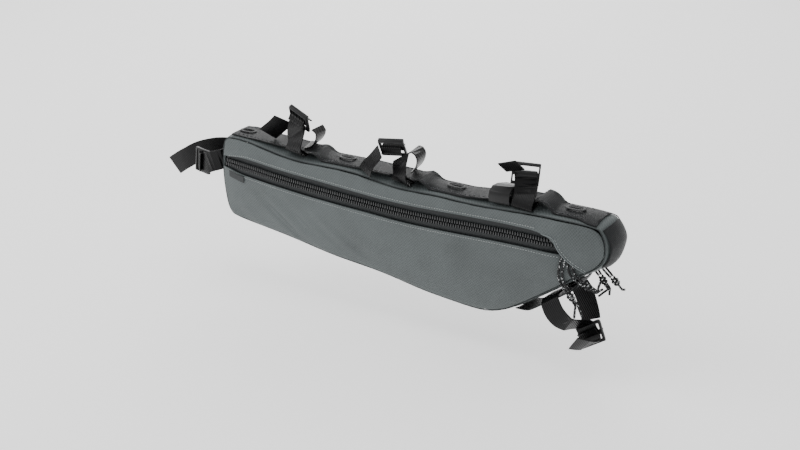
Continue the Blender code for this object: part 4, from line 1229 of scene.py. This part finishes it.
@dataclass
class Threading:
    """Webbing that goes through a ladder lock and round its middle bar."""

    WIDTH = 0.0236
    HALF_THICK = 0.00055
    STEPS = 32
    NEAR_BY = 0.016
    PATH = ((-0.0084, -0.0026), (-0.0066, -0.0014), (-0.0042, 0.0022), (-0.0018, 0.0030), (0.0018, 0.0030),
            (0.0042, 0.0022), (0.0066, -0.0014), (0.0084, -0.0026))

    dresser: Dresser

    def axes(self, node: str) -> tuple[Vector, Vector, Vector, Vector]:
        """Middle of a lock with its long, short and flat directions, from its smallest outline box.

        Args:
            node: Name of the lock's CAD node.

        Returns:
            The middle and three unit vectors.
        """
        data = self.dresser.nodes[node].data
        points = [v.co.copy() for v in data.vertices]
        centre = sum(points, Vector()) / len(points)
        areas: dict[tuple[int, int, int], float] = {}
        for face in data.polygons:
            n = face.normal if face.normal.z >= 0 else -face.normal
            key = (round(n.x * 20), round(n.y * 20), round(n.z * 20))
            areas[key] = areas.get(key, 0.0) + face.area
        flat = Vector(max(areas, key=lambda k: areas[k])).normalized()
        longest = max(((p - centre) - flat * (p - centre).dot(flat) for p in points), key=lambda v: v.length)
        boxes = []
        for k in range(180):
            wide = Matrix.Rotation(math.pi * k / 180, 3, flat) @ longest.normalized()
            sizes = []
            for way in (wide, flat.cross(wide)):
                reach = [(p - centre).dot(way) for p in points]
                sizes.append(max(reach) - min(reach))
            boxes.append((sizes[0] * sizes[1], k, wide, sizes))
        wide, sizes = min(boxes, key=lambda box: box[:2])[2:]
        along = flat.cross(wide)
        if sizes[0] < sizes[1]:
            wide, along = along, wide
        return centre, wide, along, flat

    def thread(self, node: str, webs: Sequence[str]) -> None:
        """Make the webbing in one lock.

        Args:
            node: Name of the lock's CAD node.
            webs: CAD nodes of the webbing that is near.
        """
        centre, wide, along, flat = self.axes(node)
        sides = {1: 0, -1: 0}
        for web in webs:
            for vertex in self.dresser.nodes[web].data.vertices:
                far = vertex.co - centre
                if far.length < self.NEAR_BY:
                    sides[1 if far.dot(flat) > 0 else -1] += 1
        sign = 1 if sides[1] <= sides[-1] else -1
        sections = []
        line = spline([(u, 0.0, h) for u, h in self.PATH], self.STEPS + 1)
        for k, p in enumerate(line):
            ahead = (line[min(k + 1, self.STEPS)] - line[max(k - 1, 0)]).normalized()
            lift = Vector((-ahead.z, 0.0, ahead.x)) * self.HALF_THICK
            sections.append([centre + along * q.x + flat * (sign * q.z) + wide * (half * self.WIDTH)
                             for q, half in ((p + lift, 0.5), (p + lift, -0.5), (p - lift, -0.5),
                                             (p - lift, 0.5))])
        name = node + "_threading"
        piece = link_mesh(name, loft_mesh(name, sections), self.dresser.finishes.get(WEBBING))
        piece.data.set_sharp_from_angle(angle=math.radians(50))
        self.dresser.adopt(piece)


@dataclass
class Seams:
    """Stitch rows and hems of the bag.

    INSET is how far a row lies from its edge. The strip's row swings ZIGZAG to both sides.
    """

    INSET = 0.0026
    STEP = 0.0004
    ROW_START = 0.004
    ROW_END = 0.002
    NARROWING = 0.35
    NARROW_RUN = 0.035
    FLAP_STOP = 0.172
    FLAP_INSET = (0.00225, 0.00198)
    HEM_RADIUS = 0.00065
    HEM_FRONT = 0.0235
    HEM_GAPS = (0.0006, 0.0012, 0.0020, 0.0030)
    STRIP_START = -0.238
    STRIP_STEP = 0.00042
    STRIP_COUNT = 1100
    STRIP_HALF = 0.021
    ZIGZAG = 0.0011
    ZIGZAG_STEPS = 14
    ABOVE = 0.06
    DOWN = Vector((0.0, 0.0, -1.0))

    sewing: Sewing
    pieces: dict[str, bpy.types.Object]
    lines: dict[str, ZipLine]

    def face(self, side: Side) -> None:
        """Rows above and below the zip and along the flap's slanting edge.

        Args:
            side: The face.
        """
        label = side.label
        lower = Surface(self.pieces[label + "_lower_panel"])
        upper = Surface(self.pieces[label + "_upper_panel"])
        line = self.lines[label]
        first, last = line.span
        start = first + self.ROW_START
        for name, sign, stop in (("upper_row", 1, self.FLAP_STOP), ("lower_row", -1, last - self.ROW_END)):
            shift = sign * (0.5 * ZIP_OPENING + self.INSET)
            places = []
            for k in range(int((stop - first - self.ROW_START) / self.STEP)):
                x = start + k * self.STEP
                narrow = 1.0 - self.NARROWING * (1.0 - soft_step(x, first, first + self.NARROW_RUN))
                places.append((x, line.at(x)[1] + shift * narrow))
            self.sewing.along_face(f"{label}_{name}", (lower, upper), places, side.value, THREAD)
        dx, dz = self.FLAP_INSET
        places = [(p.x + dx, p.z + dz) for p in spline([(x, 0.0, z) for x, z in FLAP_EDGE[1:]], 150)]
        self.sewing.along_face(f"{label}_flap_row", (upper,), places, side.value, THREAD)

    def hem(self, side: Side) -> None:
        """The folded edge of the flap.

        Args:
            side: The face.
        """
        label = side.label
        upper = Surface(self.pieces[label + "_upper_panel"])
        path = []
        for p in spline([(x, 0.0, z) for x, z in FLAP_EDGE], 120):
            for gap in self.HEM_GAPS:
                hit = upper.at(p.x + gap * 0.7, p.z + gap * 0.7, side.value)
                if hit and hit[0].y * side.value > self.HEM_FRONT:
                    path.append(hit[0] + hit[1] * 0.0001)
                    break
        dresser = self.sewing.dresser
        piece = tube_mesh(label + "_flap_hem", [path], self.HEM_RADIUS, dresser.finishes.get(HEM))
        dresser.adopt(piece)

    def strip(self) -> None:
        """A zigzag row along both edges of the strip on top."""
        tree = Surface(self.pieces["top_strip"]).tree
        for name, side in (("strip_near_row", -1), ("strip_far_row", 1)):
            path = []
            outs = []
            for k in range(self.STRIP_COUNT):
                x = self.STRIP_START + k * self.STRIP_STEP
                edge = self.edge(tree, x, side)
                if edge is None:
                    continue
                phase = (k % self.ZIGZAG_STEPS) / (self.ZIGZAG_STEPS / 2)
                swing = self.ZIGZAG * (abs(phase - 1.0) * 2.0 - 1.0)
                y = edge - side * (self.INSET + swing)
                place, out = tree.ray_cast(Vector((x, y, self.ABOVE)), self.DOWN)[:2]
                if place is not None:
                    path.append(place)
                    outs.append(out)
            self.sewing.row(name, path, outs, DARK_THREAD)

    def edge(self, tree: BVHTree, x: float, side: int) -> float | None:
        """Find where the strip ends across the bag.

        Args:
            tree: The strip's mesh.
            x: Place along the bag.
            side: Sign of Y.

        Returns:
            Y of the edge, or None where there is no strip.
        """
        for k in range(60):
            y = side * (self.STRIP_HALF - k * self.STEP)
            if tree.ray_cast(Vector((x, y, self.ABOVE)), self.DOWN)[0] is not None:
                return y
        return None


class FrameBag:
    """The whole scene of the frame bag."""

    FLOOR_HEIGHT = -0.182
    BUCKLE = "_buckle"

    def __init__(self) -> None:
        """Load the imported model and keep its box."""
        self.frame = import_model()
        self.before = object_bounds()
        self.finishes = Finishes()
        self.dresser = Dresser(self.frame["nodes"], self.finishes)

    def build(self) -> None:
        """Make camera, cords, pieces, seams and studio."""
        studio = Studio(CameraPose())
        studio.camera()
        cords = Cords(self.dresser)
        for pull in PULLS:
            cords.build(pull)
        LOG.info("cords done")
        for node in sorted(self.frame["nodes"]):
            dress = dress_for(node)
            if dress:
                piece = self.dresser.refine(node, dress.weave, dress.how, dress.move)
        LOG.info("pieces done")
        threading = Threading(self.dresser)
        webs = [n for n in self.frame["nodes"] if n.endswith(("_leg", "_cross", "_tail", "_near", "_far"))]
        for node in sorted(self.frame["nodes"]):
            if node.endswith(self.BUCKLE):
                strap = node.removesuffix(self.BUCKLE)
                threading.thread(node, [web for web in webs if web.startswith(strap)])
        sewing = Sewing(self.dresser, Repeater())
        lines = {}
        for side in Side:
            lines[side.label] = ZipLine(self.frame["nodes"][side.label + "_zip_chain"])
            sewing.teeth(side.label, side.value, lines[side.label])
        seams = Seams(sewing, self.dresser.pieces, lines)
        for side in Side:
            seams.face(side)
            seams.hem(side)
        seams.strip()
        LOG.info("seams done")
        studio.lights()
        studio.floor(self.FLOOR_HEIGHT)


def main() -> None:
    """Build the scene."""
    logging.basicConfig(level=logging.INFO, format="%(name)s: %(message)s")
    bag = FrameBag()
    bag.build()


if __name__ == "__main__":
    main()
